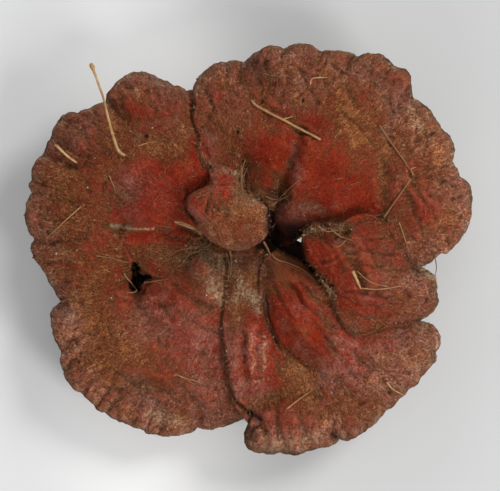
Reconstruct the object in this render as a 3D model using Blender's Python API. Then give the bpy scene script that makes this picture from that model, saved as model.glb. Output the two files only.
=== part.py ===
"""A wild reishi mushroom: six large caps and a young one grown together on one short woody stem, with
dry grass stalks that the caps closed round while they grew.

Lengths below are millimetres and become metres where a vertex is placed. +Z is up, and the origin is
the middle of the flat cut under the stem, on the surface that the mushroom rests on.

Each large cap is a fan from a short hub line, near the stem, to a long scalloped margin, between two
seams that it shares with its neighbours. Heights in the lines are those of the cap's upper edge there.
"""

import math

import bmesh
import bpy
import numpy as np
from mathutils import Vector
from mathutils.bvhtree import BVHTree

MM = 0.001

# The stem: a cut foot, a waist and a flat seat that the caps grow from.
SEAT_Z = 34.0
STEM_SIDES = 44
# How far the foot and the seat reach at each angle (degrees, anticlockwise from +X). The seat draws in
# at 18 degrees, where a hole between the caps goes right through.
FOOT_REACH = [
    (-15, 36), (18, 30), (45, 36), (70, 33), (95, 38), (120, 34), (160, 38), (190, 35), (225, 39),
    (250, 34), (275, 38), (310, 34),
]
SEAT_REACH = [
    (-30, 55), (-6, 56), (3, 47), (11, 38), (18, 35.5), (26, 36), (36, 46), (62, 45), (75, 52), (92, 46),
    (112, 54), (138, 46), (165, 55), (190, 47), (226, 56), (250, 46), (270, 51), (292, 45), (310, 53),
]
# Rings of the stem from the seat down: height, and how far it goes from the foot's reach to the seat's.
STEM_RINGS = [(34.0, 0.94), (31.5, 1.0), (25.0, 0.7), (17.0, 0.34), (9.0, 0.1), (2.5, 0.02), (0.0, -0.05)]

# How a cap is made.
ROOT_GAP = 0.3        # between the seat and the caps' roots
SEAM_GAP = 0.35       # each cap keeps this far from the line it shares
YOUNG_GAP = 0.9
LIP = 4.5             # from the middle of a cap's rim up to its upper edge
RIM_DEPTH = 4.5       # and down to its underside
EDGE_ROUND = 6.0      # how far in the rounding of a rim goes
PLUMP = 5.0           # how much a cap swells inside its edge
PLUMP_REACH = 22.0
ROOT_REACH = 58.0     # the undersides are flat this far from the origin
SPREAD = 46.0         # and then rise to the rims over this distance
ALONG = np.array([0.0, 0.5, 1.5, 3.0, 4.0, 5.0, 6.0, 7.0, 8.3, 9.5, 10.0]) / 10.0
MARGIN_STEP = 8.6
FURROW_DEPTH = 2.6    # a furrow runs inwards from each notch of the margin
FURROW_WIDTH = 5.0
FURROW_LENGTH = 0.3   # as a share of the way to the hub
LEAST_BODY = 1.5      # a furrow leaves at least this much cap above the middle of the rim
RIM_BAND = 1.0        # half the width of the flat band round a rim
SLAB = 0.1            # the grid's first thickness, before its points are placed

# Seams, from the hub out: x, y, upper edge of the first cap named and of the second.
SEAM_RIGHT_UPPER = [
    (40, 18.5, 62, 60), (45, 22.5, 62, 62), (53.5, 22, 63, 62), (64, 20.5, 65, 64), (74, 25, 66, 65),
    (83, 26, 65, 64), (92, 20.5, 63, 62), (99.5, 9.5, 61, 60), (107, -0.5, 59, 57), (115, -8, 58, 54),
]
SEAM_UPPER_LEFT = [
    (-26, 62, 70, 67), (-31.5, 69, 69, 65), (-32.5, 75, 68, 64), (-31, 81, 67, 62.5),
    (-35.5, 92.5, 66, 60.5), (-34.5, 102, 63, 58), (-35.5, 113, 58, 52),
]
SEAM_LEFT_LOWER = [
    (-26.5, 7.5, 53, 52), (-36, 1.5, 54, 54), (-46, -6, 56, 54), (-56, -11.5, 56, 53),
    (-66, -15, 52, 49), (-73.5, -5, 50, 44), (-81, -15, 52, 49), (-91, -19.5, 53, 52),
    (-102.5, -24, 51, 50), (-114, -28, 48, 47), (-125, -31.5, 42, 42),
]
SEAM_LOWER_MIDDLE = [
    (-11, -3.5, 60, 57), (-10.5, -15, 62, 60), (-13.5, -28, 64, 61), (-16, -40, 65, 60),
    (-15.5, -52, 64, 58), (-14, -63, 62, 55), (-12.5, -74, 60, 52.5), (-10.5, -85, 57, 49),
    (-7, -96, 54, 44), (0, -102.5, 50, 39), (5.5, -107, 47, 37),
]
SEAM_MIDDLE_RIGHT = [
    (14.5, 1.5, 60, 60), (12, -16.5, 62, 61.5), (12, -32, 63.5, 61), (16, -47, 64.5, 60.5),
    (23, -60.5, 64, 59), (33, -71.5, 63, 57), (43, -82, 59, 54), (51, -95, 53, 49),
    (59, -107, 49, 46), (61, -117, 46, 44), (64, -124, 44, 42),
]
SEAM_LOWER_RIGHT = [
    (57, -19.5, 61, 59), (59, -28, 60, 58), (61, -38, 61, 58), (67.5, -47.5, 62, 58),
    (76, -52, 62, 57), (86, -49.5, 60, 55), (95, -46, 57, 52), (103.5, -45.5, 54, 49),
    (111, -44, 52, 47), (118, -44, 50, 46),
]
# The ends of two caps either side of a wedge-shaped notch.
LEFT_OF_WEDGE = (3.5, -107.5, 37)
RIGHT_OF_WEDGE = (-1.0, -120.0, 44)

# Hub lines, from each cap's first seam to its second: x, y, upper edge.
HUB_UPPER_RIGHT = [
    (40, 18.5, 60), (36, 13.5, 53), (30, 9.5, 48), (22.5, 9, 47), (16.5, 13.5, 47), (12, 22, 50),
    (8, 31.5, 54), (1.5, 39, 57), (-1.5, 46, 60), (-2, 55, 63), (-8, 60.5, 66), (-17, 63.5, 69),
    (-26, 62, 70),
]
HUB_UPPER_LEFT = [
    (-26, 62, 67), (-24, 56, 70), (-24.5, 50.5, 68), (-32, 45.5, 64), (-39, 42, 62), (-41, 36.5, 60),
    (-39, 30.5, 58), (-33.5, 24, 55), (-32.5, 18, 53), (-30, 12, 52), (-26.5, 7.5, 52),
]
HUB_LOWER_LEFT = [(-26.5, 7.5, 53), (-22.5, 7, 54), (-17.5, 5.5, 55), (-13.5, 2, 56), (-11, -3.5, 57)]
HUB_LOWER_MIDDLE = [
    (-11, -3.5, 60), (-10, 3.5, 57), (-5.5, 7, 56), (2.5, 7, 56), (11, 5.5, 57), (14.5, 1.5, 59),
]
HUB_LOWER_RIGHT = [
    (14.5, 1.5, 60), (22.5, -3, 61), (31.5, -7, 62), (41, -12.5, 62), (49, -17, 61), (57, -19.5, 60),
]
HUB_RIGHT = [
    (57, -19.5, 61), (51, -13.5, 64), (45, -8, 66), (40, -1.5, 67), (37.5, 6, 67), (38, 13, 66),
    (40, 18.5, 62),
]

# Margins, anticlockwise: x, y, upper edge, and how far the stretch to the next point bows out.
MARGIN_UPPER_RIGHT = [
    (115, -8, 54, 1.5), (132, 2.5, 55, 1.5), (138, 4, 55, 6), (152.5, 42, 57, 3), (144.5, 54.5, 59, 1),
    (139.5, 64.5, 60, 4.5), (132, 87, 60, 2.5), (113.5, 107, 60, 0), (112, 113, 59, 5.5),
    (100.5, 128.5, 58, 5.5), (76, 135.5, 57, 2), (51.5, 138.5, 56, 5), (26, 140.5, 56, 2.5),
    (9.5, 139.5, 56, 0.5), (-0.5, 132, 55, 1.5), (-13, 131, 55, 2.5), (-30, 123, 56, 1), (-35.5, 113, 58, 0),
]
MARGIN_UPPER_LEFT = [
    (-35.5, 113, 52, 0.5), (-40, 112, 52, 1), (-48.5, 115.5, 52, 1), (-58.5, 120.5, 52, 5.5),
    (-85.5, 119.5, 52, 2), (-94.5, 104.5, 50, 1.5), (-107, 100, 50, 0.5), (-113.5, 98, 50, 2),
    (-126.5, 92.5, 49, 1), (-132.5, 80, 48, 0.5), (-138, 68.5, 47, 3), (-145, 51.5, 46, 2),
    (-145.5, 43.5, 46, 5), (-144, 11.5, 45, 2.5), (-143, -2, 43, -0.5), (-133.5, -17, 42, 0.5),
    (-125, -31.5, 42, 0),
]
MARGIN_LOWER_LEFT = [
    (-125, -31.5, 42, 2), (-132.5, -40.5, 41, 2), (-125.5, -64.5, 40, 1.5), (-124, -78, 39, 3),
    (-112, -92.5, 38, 0.5), (-104, -101.5, 37, 1), (-96.5, -107, 36, 0.5), (-83, -113.5, 35, 0.5),
    (-69.5, -119, 35, 1), (-62, -122, 34, 1.5), (-38, -120.5, 35, 0.5), (-34, -117, 36, 1.5),
    (-16.5, -116.5, 37, 1), LEFT_OF_WEDGE + (0,),
]
MARGIN_LOWER_MIDDLE = [
    RIGHT_OF_WEDGE + (0.5,), (0.5, -128.5, 42, 1.5), (11, -134, 40, 1), (24, -133.5, 40, 2.5),
    (42, -132.5, 41, 0.5), (59, -128, 42, 1), (64, -124, 44, 0),
]
MARGIN_LOWER_RIGHT = [
    (64, -124, 42, 1.5), (72, -124, 43, 0.5), (85, -116.5, 42, 0.5), (95.5, -105.5, 43, 1),
    (104.5, -97, 43, 0.5), (111.5, -90.5, 43, 1), (119, -82.5, 44, 0.5), (129.5, -71.5, 44, 0.5),
    (130, -65.5, 45, 2.5), (130, -49, 46, 1.5), (122, -45.5, 46, 0), (118, -44, 46, 0),
]
MARGIN_RIGHT = [
    (118, -44, 50, 0.5), (128.5, -35.5, 50, 2), (129.5, -24, 51, 1), (128, -12, 52, 1),
    (116.5, -11, 53, 0), (115, -8, 58, 0),
]

# Lumps and furrows over the caps: the line they follow, half width, and height (below zero: depth).
RELIEF = [
    ([(57, 50), (70, 62)], 30.0, 9.0),
    ([(14, 72), (28, 76)], 17.0, 7.0),
    ([(37, 82), (31, 64), (23, 48), (16, 34)], 7.0, -9.0),
    ([(108, 52), (128, 30)], 12.0, 4.0),
    ([(97, 78), (92, 60), (94, 27)], 5.0, -3.0),
    ([(-78, 52), (-48, 46)], 24.0, 8.0),
    ([(-56, 92), (-46, 104)], 13.0, 4.0),
    ([(-92, 20), (-60, 19), (-36, 18)], 4.5, -3.5),
    ([(-100, 8), (-70, 6)], 11.0, 4.0),
    ([(-118, 60), (-98, 72)], 7.0, -3.0),
    ([(-70, -60), (-42, -52)], 24.0, 7.0),
    ([(-73.5, -14), (-73.5, -20)], 5.5, -20.0),
    ([(-28, -8), (-24, -24)], 8.0, 5.0),
    ([(-100, -92), (-70, -84), (-46, -96)], 5.0, -3.5),
    ([(-6, -44), (-7, -72)], 4.5, 1.6),
    ([(4, -46), (4, -70)], 4.0, 1.6),
    ([(-1, -46), (-1.5, -70)], 2.6, -0.8),
    ([(8, -100), (26, -92), (46, -94)], 5.5, -4.0),
    ([(20, -16), (26, -36), (38, -50), (54, -70), (72, -88)], 7.0, 3.6),
    ([(32, -20), (40, -40), (58, -62)], 3.4, -1.8),
    ([(62, -84), (76, -98)], 4.0, -4.0),
    ([(90, -66), (112, -62)], 11.0, 4.0),
    ([(44, 2), (56, -8)], 10.0, 6.0),
    ([(40, 16), (56, 12), (68, 18)], 4.0, -4.0),
    ([(66, 14), (74, -4), (80, -22)], 4.0, -2.5),
    ([(84, -8), (104, -22)], 9.0, 3.0),
    ([(14, 27), (17, 17), (21, 10)], 4.5, -11.0),
]

# The young cap: outline from its neck, anticlockwise, with its upper edge.
YOUNG_POLE = (-12.0, 30.0)
YOUNG_OUTLINE = [
    (-26, 62, 70), (-24, 56, 71), (-24, 50, 70), (-31, 45.5, 68), (-38.5, 42, 66), (-41, 36.5, 65),
    (-39, 30.5, 65), (-33, 25, 68), (-30.5, 18, 74), (-26, 13, 79), (-20.5, 9, 82), (-11.5, 5, 83),
    (-2, 4, 83), (6, 7, 83), (13, 12, 83), (16.5, 19.5, 83), (17, 28.5, 84), (13.5, 35.5, 84),
    (7.5, 39, 83), (1.5, 41, 80), (-1.5, 46, 73), (-3, 53.5, 70), (-8.5, 58.5, 70), (-17, 61.5, 71),
]
YOUNG_SIDES = 40
YOUNG_CROWN = 89.0
YOUNG_NECK = 0.42     # its stalk's share of the outline
# Its rings from the pole down, by their share of the outline: dome, rim, underside and stalk.
DOME_SHARES = [0.0, 0.35, 0.65, 0.85, 0.95]
RIM_SHARE = 1.0
UNDER_SHARES = [0.93, 0.72, YOUNG_NECK + 0.08]
DOME_POWER = 2.4      # how late the dome falls away
RIM_ROLL = 1.2        # how far its last ring rolls over
RIM_DROP = 4.0        # from the upper edge down to the middle of the rim
UNDER_DROP = 7.0      # and to the underside, which dips by this much more at the stalk
UNDER_DIP = 5.0

# Grass stalks: the line seen from above, radius, and how far each point stands above the cap.
STALKS = {
    "grass_stalk_upright": (
        [(-80.9, 68.0), (-85.7, 72.8), (-91.8, 95.2), (-103.0, 128.9)], 1.0, (0, 4, 9, 26)),
    "grass_stalk_forked": ([(-113.6, 63.2), (-121.0, 68.7), (-128.5, 75.5)], 0.8, (0, 2.5, 5)),
    "grass_stalk_long": ([(4.1, 104.7), (9.5, 100.0), (36.7, 85.7), (50.3, 78.2)], 1.0, (1, 0.5, 0.5, 0)),
    "grass_stalk_outer": ([(89.8, 87.7), (101.3, 71.4), (112.9, 54.4)], 0.8, (1, 0, 0)),
    "grass_stalk_inner": ([(110.8, 52.4), (102.0, 39.4), (93.2, 26.5)], 0.8, (0, 0, 0)),
}
STALK_STEP = 3.5
STALK_CLEAR = 0.35
STALK_LOOKS = 8       # directions round a point in which its ground is looked up
ABOVE_ALL = 200.0     # where the search for the ground below a stalk starts

CAP_COLOURS = {
    "cap_upper_right": (0.16, 0.035, 0.018), "cap_upper_left": (0.17, 0.042, 0.022),
    "cap_lower_left": (0.15, 0.045, 0.026), "cap_lower_middle": (0.18, 0.036, 0.02),
    "cap_lower_right": (0.16, 0.036, 0.022), "cap_right": (0.2, 0.034, 0.015),
    "cap_young": (0.2, 0.055, 0.025),
}
STEM_COLOUR = (0.07, 0.02, 0.012)
STRAW_COLOUR = (0.42, 0.3, 0.13)
CAP_ROUGHNESS, YOUNG_ROUGHNESS, STEM_ROUGHNESS, STRAW_ROUGHNESS = 0.42, 0.45, 0.55, 0.6
SHARP_ANGLE = 50.0    # edges sharper than this, in degrees, are not smoothed over


def clear_scene():
    for obj in list(bpy.data.objects):
        bpy.data.objects.remove(obj, do_unlink=True)


def material(name, colour, roughness):
    made = bpy.data.materials.new(name)
    made.use_nodes = True
    shader = made.node_tree.nodes["Principled BSDF"]
    shader.inputs["Base Color"].default_value = (*colour, 1.0)
    shader.inputs["Roughness"].default_value = roughness
    return made


def add_object(collection, name, bm, colour, roughness):
    if bm.calc_volume(signed=True) < 0:
        bmesh.ops.reverse_faces(bm, faces=bm.faces)
    mesh = bpy.data.meshes.new(name)
    bm.to_mesh(mesh)
    bm.free()
    mesh.shade_smooth()
    mesh.set_sharp_from_angle(angle=math.radians(SHARP_ANGLE))
    mesh.materials.append(material(name + "_finish", colour, roughness))
    obj = bpy.data.objects.new(name, mesh)
    collection.objects.link(obj)
    return obj


def smooth_line(points, where):
    """Catmull-Rom curve through the points, read at `where`, from 0 at the first to 1 at the last."""
    p = np.array(points, float)
    p = np.vstack([2 * p[0] - p[1], p, 2 * p[-1] - p[-2]])
    at = np.asarray(where) * (len(points) - 1)
    i = np.minimum(at.astype(int), len(points) - 2)
    f = (at - i)[:, None]
    a, b, c, d = p[i], p[i + 1], p[i + 2], p[i + 3]
    return 0.5 * (2 * b + (c - a) * f + (2 * a - 5 * b + 4 * c - d) * f**2 + (3 * b - a - 3 * c + d) * f**3)


def scalloped(points):
    """The margin as points (x, y, z), each stretch bowed out by its bulge, and the notches' indices."""
    rows, notches = [], []
    for (x0, y0, z0, bulge), (x1, y1, z1, _) in zip(points, points[1:]):
        length = math.hypot(x1 - x0, y1 - y0)
        parts = max(1, round((length + 2 * abs(bulge)) / MARGIN_STEP))
        notches.append(len(rows))
        for k in range(parts):
            f = k / parts
            out = bulge * 4 * f * (1 - f) / max(length, 1e-6)
            x = x0 + (x1 - x0) * f + (y1 - y0) * out
            y = y0 + (y1 - y0) * f - (x1 - x0) * out
            rows.append((x, y, z0 + (z1 - z0) * f))
    rows.append(points[-1][:3])
    return np.array(rows), notches[1:]


def inset(loop, gap):
    """A closed anticlockwise outline, moved inwards by the gap."""
    ahead = np.roll(loop, -1, 0) - loop
    ahead /= np.linalg.norm(ahead[:, :2], axis=1, keepdims=True)
    turn = ahead + np.roll(ahead, 1, 0)
    turn /= np.linalg.norm(turn[:, :2], axis=1, keepdims=True)
    moved = loop.copy()
    moved[:, 0] -= turn[:, 1] * gap
    moved[:, 1] += turn[:, 0] * gap
    return moved


def distance_to(line, x, y, closed=False):
    """How far each place is from a line of points, seen from above."""
    ends = np.roll(line, -1, 0) if closed else line[1:]
    starts = line if closed else line[:-1]
    near = np.full(np.shape(x), np.inf)
    for (ax, ay), (bx, by) in zip(starts[:, :2], ends[:, :2]):
        length = max((bx - ax) ** 2 + (by - ay) ** 2, 1e-9)
        f = np.clip(((x - ax) * (bx - ax) + (y - ay) * (by - ay)) / length, 0, 1)
        near = np.minimum(near, np.hypot(x - ax - f * (bx - ax), y - ay - f * (by - ay)))
    return near


def relief(x, y):
    """The sum of the lumps and furrows: each falls off as a bell curve across its line."""
    total = np.zeros(np.shape(x))
    for line, width, height in RELIEF:
        total += height * np.exp(-((distance_to(np.array(line, float), x, y) / width) ** 2))
    return total


def rounding(distance):
    """A quarter circle: 0 at the rim, 1 past the rounding."""
    return np.sqrt(1 - (1 - np.clip(distance / EDGE_ROUND, 0, 1)) ** 2)


def underside(x, y, rim):
    """The height of a cap's underside: flat on the seat, then rising in an S-curve to the rim."""
    f = np.clip((np.hypot(x, y) - ROOT_REACH) / SPREAD, 0, 1)
    return SEAT_Z + ROOT_GAP + (rim - RIM_DEPTH - SEAT_Z - ROOT_GAP) * f * f * (3 - 2 * f)


def fan_points(first, hub, second, margin_points):
    """Upper and lower points of a cap, as arrays [along, across, xyz]. The plan and the rim's height are
    a Coons patch: the two ruled surfaces between opposite edges, less the one through the corners."""
    margin, notches = scalloped(margin_points)
    step = np.linalg.norm(np.diff(margin[:, :2], axis=0), axis=1)
    length = np.concatenate([[0], np.cumsum(step)])
    s = length / length[-1]
    near = smooth_line(hub, s)
    side_a, side_b = smooth_line(first, ALONG), smooth_line(second, ALONG)
    side_a[-1], side_b[-1] = margin[0], margin[-1]
    side_a[0], side_b[0] = near[0], near[-1]
    loop = np.vstack([side_a[:-1], margin[:-1], side_b[:0:-1], near[:0:-1]])
    loop = inset(loop, SEAM_GAP)
    n, m = len(ALONG) - 1, len(s) - 1
    side_a = loop[: n + 1]
    margin = loop[n : n + m + 1]
    side_b = loop[n + m : 2 * n + m + 1][::-1]
    near = np.vstack([loop[2 * n + m :], loop[:1]])[::-1]
    t, u = ALONG[:, None, None], s[None, :, None]
    plan = (
        (1 - t) * near[None] + t * margin[None] + (1 - u) * side_a[:, None] + u * side_b[:, None]
        - (1 - t) * ((1 - u) * near[0] + u * near[-1]) - t * ((1 - u) * margin[0] + u * margin[-1])
    )
    x, y, rim = plan[..., 0], plan[..., 1], plan[..., 2] - LIP
    d = distance_to(loop, x, y, closed=True)
    swell = PLUMP * (1 - np.exp(-((d / PLUMP_REACH) ** 2)))
    for k in notches:
        across = (s[None] - s[k]) * length[-1]
        fade = np.clip(1 - (1 - ALONG[:, None]) / FURROW_LENGTH, 0, 1)
        swell = swell - FURROW_DEPTH * np.exp(-((across / FURROW_WIDTH) ** 2)) * fade
    round_off = rounding(d)
    upper = rim + round_off * np.maximum(LIP + swell + relief(x, y), LEAST_BODY)
    lower = rim - round_off * (rim - underside(x, y, rim))
    return np.dstack([x, y, upper]), np.dstack([x, y, lower])


def fan_cap(collection, name, first, hub, second, margin):
    """A grid, thickened to a closed slab, whose upper and lower vertices are moved to the cap's points."""
    upper, lower = fan_points(first, hub, second, margin)
    rows, columns = upper.shape[:2]
    bm = bmesh.new()
    bmesh.ops.create_grid(bm, x_segments=columns - 1, y_segments=rows - 1, size=1.0)
    bmesh.ops.solidify(bm, geom=bm.faces[:], thickness=SLAB)
    middle = sum(v.co.z for v in bm.verts) / len(bm.verts)
    for v in bm.verts:
        column = round((v.co.x + 1) / 2 * (columns - 1))
        row = round((v.co.y + 1) / 2 * (rows - 1))
        on_edge = row in (0, rows - 1) or column in (0, columns - 1)
        side = upper if v.co.z > middle else lower
        point = side[row, column].copy()
        if on_edge:
            point[2] += RIM_BAND if v.co.z > middle else -RIM_BAND
        v.co = Vector(point) * MM
    return add_object(collection, name, bm, CAP_COLOURS[name], CAP_ROUGHNESS)


def ball_places(bm, sides, rings):
    """The vertices of a sphere with their side (0 to sides) and ring (0 at the top pole)."""
    for v in bm.verts:
        ring = round(math.acos(max(-1, min(1, v.co.z))) / math.pi * (rings + 1))
        side = round(math.atan2(v.co.y, v.co.x) / math.tau * sides) % sides
        yield v, side, ring


def young_height(ring, share, edge):
    """The height of a point of the young cap, from its ring, its share and the upper edge there."""
    rim_ring = len(DOME_SHARES)
    if ring < rim_ring:
        roll = RIM_ROLL if ring == rim_ring - 1 else 0.0
        return edge + (YOUNG_CROWN - edge) * (1 - share**DOME_POWER) - roll
    if ring == rim_ring:
        return edge - RIM_DROP
    if ring <= rim_ring + len(UNDER_SHARES):
        return edge - UNDER_DROP - UNDER_DIP * (1 - share)
    return SEAT_Z + ROOT_GAP


def young_cap(collection):
    """A sphere whose sides follow the outline: a domed top, a rounded rim and a stalk to the seat."""
    name = "cap_young"
    closed = YOUNG_OUTLINE + YOUNG_OUTLINE[:1]
    outline = inset(smooth_line(closed, np.arange(YOUNG_SIDES) / YOUNG_SIDES), YOUNG_GAP)
    shares = [*DOME_SHARES, RIM_SHARE, *UNDER_SHARES, YOUNG_NECK, 0.0]
    bm = bmesh.new()
    rings = len(shares) - 2
    bmesh.ops.create_uvsphere(bm, u_segments=YOUNG_SIDES, v_segments=rings + 1, radius=1.0)
    for v, side, ring in ball_places(bm, YOUNG_SIDES, rings):
        share = shares[ring]
        x = YOUNG_POLE[0] + share * (outline[side][0] - YOUNG_POLE[0])
        y = YOUNG_POLE[1] + share * (outline[side][1] - YOUNG_POLE[1])
        v.co = Vector((x, y, young_height(ring, share, outline[side][2]))) * MM
    return add_object(collection, name, bm, CAP_COLOURS[name], YOUNG_ROUGHNESS)


def reach(table, angle):
    """The reach at an angle, read from a closed table by a raised-cosine blend of its two neighbours."""
    rows = sorted(((a % 360, r) for a, r in table))
    rows = [(rows[-1][0] - 360, rows[-1][1])] + rows + [(rows[0][0] + 360, rows[0][1])]
    for (a0, r0), (a1, r1) in zip(rows, rows[1:]):
        if a0 <= angle < a1:
            f = (angle - a0) / (a1 - a0)
            return r0 + (r1 - r0) * (1 - math.cos(math.pi * f)) / 2
    return rows[-1][1]


def stem(collection):
    bm = bmesh.new()
    rings = len(STEM_RINGS)
    bmesh.ops.create_uvsphere(bm, u_segments=STEM_SIDES, v_segments=rings + 1, radius=1.0)
    for v, side, ring in ball_places(bm, STEM_SIDES, rings):
        angle = 360 * side / STEM_SIDES
        if ring in (0, rings + 1):
            v.co = Vector((0, 0, SEAT_Z if ring == 0 else 0.0)) * MM
            continue
        z, share = STEM_RINGS[ring - 1]
        foot, seat = reach(FOOT_REACH, angle), reach(SEAT_REACH, angle)
        r = foot + (seat - foot) * share if share > 0 else foot * (1 + share)
        v.co = Vector((r * math.cos(math.radians(angle)), r * math.sin(math.radians(angle)), z)) * MM
    return add_object(collection, "stem", bm, STEM_COLOUR, STEM_ROUGHNESS)


def stalk(collection, name, caps):
    """A tube laid over the caps: each point is lifted clear of the faces below and around it."""
    line, radius, above = STALKS[name]
    length = sum(math.dist(a, b) for a, b in zip(line, line[1:]))
    count = max(3, round(length / STALK_STEP))
    where = np.linspace(0, 1, count + 1)
    rows = smooth_line([(x, y, h) for (x, y), h in zip(line, above)], where)
    trees = [BVHTree.FromObject(cap, bpy.context.evaluated_depsgraph_get()) for cap in caps]
    down = Vector((0, 0, -1))
    around = [(0, 0)]
    for k in range(STALK_LOOKS):
        turn = math.tau * k / STALK_LOOKS
        around += [(r * math.cos(turn), r * math.sin(turn)) for r in (radius, STALK_STEP / 2)]
    grounds = []
    for x, y, _ in rows:
        hits = [tree.ray_cast(Vector((x + dx, y + dy, ABOVE_ALL)) * MM, down)[0]
                for tree in trees for dx, dy in around]
        tops = [hit.z / MM for hit in hits if hit]
        # Past the margin the stalk goes on at the height of the last ground below it.
        grounds.append(max(tops) if tops else grounds[-1])
    curve = bpy.data.curves.new(name, "CURVE")
    curve.dimensions = "3D"
    curve.bevel_depth = radius * MM
    curve.bevel_resolution = 2
    curve.use_fill_caps = True
    spline = curve.splines.new("POLY")
    spline.points.add(len(rows) - 1)
    for point, (x, y, height), ground in zip(spline.points, rows, grounds):
        point.co = (x * MM, y * MM, (ground + radius + STALK_CLEAR + height) * MM, 1.0)
    curve.materials.append(material(name + "_finish", STRAW_COLOUR, STRAW_ROUGHNESS))
    obj = bpy.data.objects.new(name, curve)
    collection.objects.link(obj)
    return obj


def seam_side(seam, which):
    """One cap's side of a seam: x, y and the height of that cap's edge."""
    return [(row[0], row[1], row[2 + which]) for row in seam]


def main():
    clear_scene()
    mushroom = bpy.data.collections.new("reishi_mushroom")
    bpy.context.scene.collection.children.link(mushroom)
    stem(mushroom)
    fans = {
        "cap_upper_right": (seam_side(SEAM_RIGHT_UPPER, 1), HUB_UPPER_RIGHT,
                            seam_side(SEAM_UPPER_LEFT, 0), MARGIN_UPPER_RIGHT),
        "cap_upper_left": (seam_side(SEAM_UPPER_LEFT, 1), HUB_UPPER_LEFT,
                           seam_side(SEAM_LEFT_LOWER, 0), MARGIN_UPPER_LEFT),
        "cap_lower_left": (seam_side(SEAM_LEFT_LOWER, 1), HUB_LOWER_LEFT,
                           seam_side(SEAM_LOWER_MIDDLE, 1), MARGIN_LOWER_LEFT),
        "cap_lower_middle": (seam_side(SEAM_LOWER_MIDDLE, 0), HUB_LOWER_MIDDLE,
                             seam_side(SEAM_MIDDLE_RIGHT, 0), MARGIN_LOWER_MIDDLE),
        "cap_lower_right": (seam_side(SEAM_MIDDLE_RIGHT, 1), HUB_LOWER_RIGHT,
                            seam_side(SEAM_LOWER_RIGHT, 1), MARGIN_LOWER_RIGHT),
        "cap_right": (seam_side(SEAM_LOWER_RIGHT, 0), HUB_RIGHT,
                      seam_side(SEAM_RIGHT_UPPER, 0), MARGIN_RIGHT),
    }
    caps = [fan_cap(mushroom, name, *lines) for name, lines in fans.items()]
    caps.append(young_cap(mushroom))
    bpy.context.view_layer.update()
    for name in STALKS:
        stalk(mushroom, name, caps)


main()
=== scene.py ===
# %% [markdown]
# # A wild reishi mushroom, surface by surface
#
# A dried cluster of reishi seen from above: six broad caps and a small young one grew out of one woody
# stem, met, and fused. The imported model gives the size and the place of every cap. This lesson makes the
# visible skin of each one as a surface that numpy works out from a formula, and then its finish.

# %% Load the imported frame
import math

import bpy
import numpy as np
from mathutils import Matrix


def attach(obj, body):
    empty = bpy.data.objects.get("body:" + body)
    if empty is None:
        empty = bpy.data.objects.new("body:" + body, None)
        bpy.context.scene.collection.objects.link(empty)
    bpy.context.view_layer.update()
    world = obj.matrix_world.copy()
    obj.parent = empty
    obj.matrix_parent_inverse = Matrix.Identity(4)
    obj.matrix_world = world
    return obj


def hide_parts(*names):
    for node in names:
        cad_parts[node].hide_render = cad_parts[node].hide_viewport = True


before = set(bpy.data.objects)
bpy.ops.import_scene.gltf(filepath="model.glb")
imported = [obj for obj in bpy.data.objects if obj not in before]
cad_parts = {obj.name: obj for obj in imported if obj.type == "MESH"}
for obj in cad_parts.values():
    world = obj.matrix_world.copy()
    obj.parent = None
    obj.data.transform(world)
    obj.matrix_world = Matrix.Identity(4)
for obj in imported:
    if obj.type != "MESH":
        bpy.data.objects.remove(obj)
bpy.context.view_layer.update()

# %% [markdown]
# ## Units and places
#
# Shapes below are worked out in millimetres, because that is how a fungus is measured, and become metres
# when a mesh is made. A mark on the skin, such as a spot of bloom, is given where the photograph shows
# it, and one function turns that place into millimetres from the middle of the stem.

# %% Units and places
MM = 0.001
IMAGE = (500, 491)              # the photograph's width and height, in pixels
MM_PER_PIXEL = 0.68
STEM_PIXEL = (246.0, 256.0)     # where the middle of the stem would show


def on_plan(pixels):
    """Places in the photograph as plan millimetres: scaled about the stem, with Y turned up."""
    p = np.asarray(pixels, float)
    return np.stack([p[..., 0] - STEM_PIXEL[0], STEM_PIXEL[1] - p[..., 1]], -1) * MM_PER_PIXEL


print("the photograph is", IMAGE[0] * MM_PER_PIXEL, "mm wide at the caps")

# %% [markdown]
# ## Noise
#
# Nothing on a fungus repeats, so every surface and stain needs noise. Blender's own noise answers one
# point at a time. Gradient noise in numpy answers a whole surface at once: random slopes sit on a
# lattice, and each point blends the eight slopes round it.

# %% Gradient noise
table_maker = np.random.default_rng(11)
SHUFFLE = np.concatenate([table_maker.permutation(256)] * 2)
SLOPES = table_maker.normal(size=(256, 3))
SLOPES /= np.linalg.norm(SLOPES, axis=1, keepdims=True)


def noise(x, y, z=0.0, seed=0):
    """Gradient noise, about -0.7 to 0.7: the sum over a lattice cell's corners of slope times offset,
    weighted by the S-curve 6f^5 - 15f^4 + 10f^3 along each axis."""
    x, y, z = np.broadcast_arrays(np.asarray(x, float), np.asarray(y, float), np.asarray(z, float))
    x, y, z = x + 17.3 * seed, y + 9.1 * seed, z + 5.7 * seed
    ix, iy, iz = (np.floor(a).astype(int) for a in (x, y, z))
    fx, fy, fz = x - ix, y - iy, z - iz
    sx, sy, sz = (f * f * f * (f * (f * 6 - 15) + 10) for f in (fx, fy, fz))
    total = np.zeros_like(x)
    for dx in (0, 1):
        for dy in (0, 1):
            for dz in (0, 1):
                row = SHUFFLE[SHUFFLE[SHUFFLE[(ix + dx) & 255] + ((iy + dy) & 255)] + ((iz + dz) & 255)]
                g = SLOPES[row]
                lift = g[..., 0] * (fx - dx) + g[..., 1] * (fy - dy) + g[..., 2] * (fz - dz)
                total += lift * (sx if dx else 1 - sx) * (sy if dy else 1 - sy) * (sz if dz else 1 - sz)
    return total


def layered(x, y, size, layers=3, seed=0):
    """Noise of a feature size in mm, plus finer layers, each half as wide and half as high."""
    return sum(noise(x / size * 2**k, y / size * 2**k, 0.37 * k, seed + k) / 2**k for k in range(layers))


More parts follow.
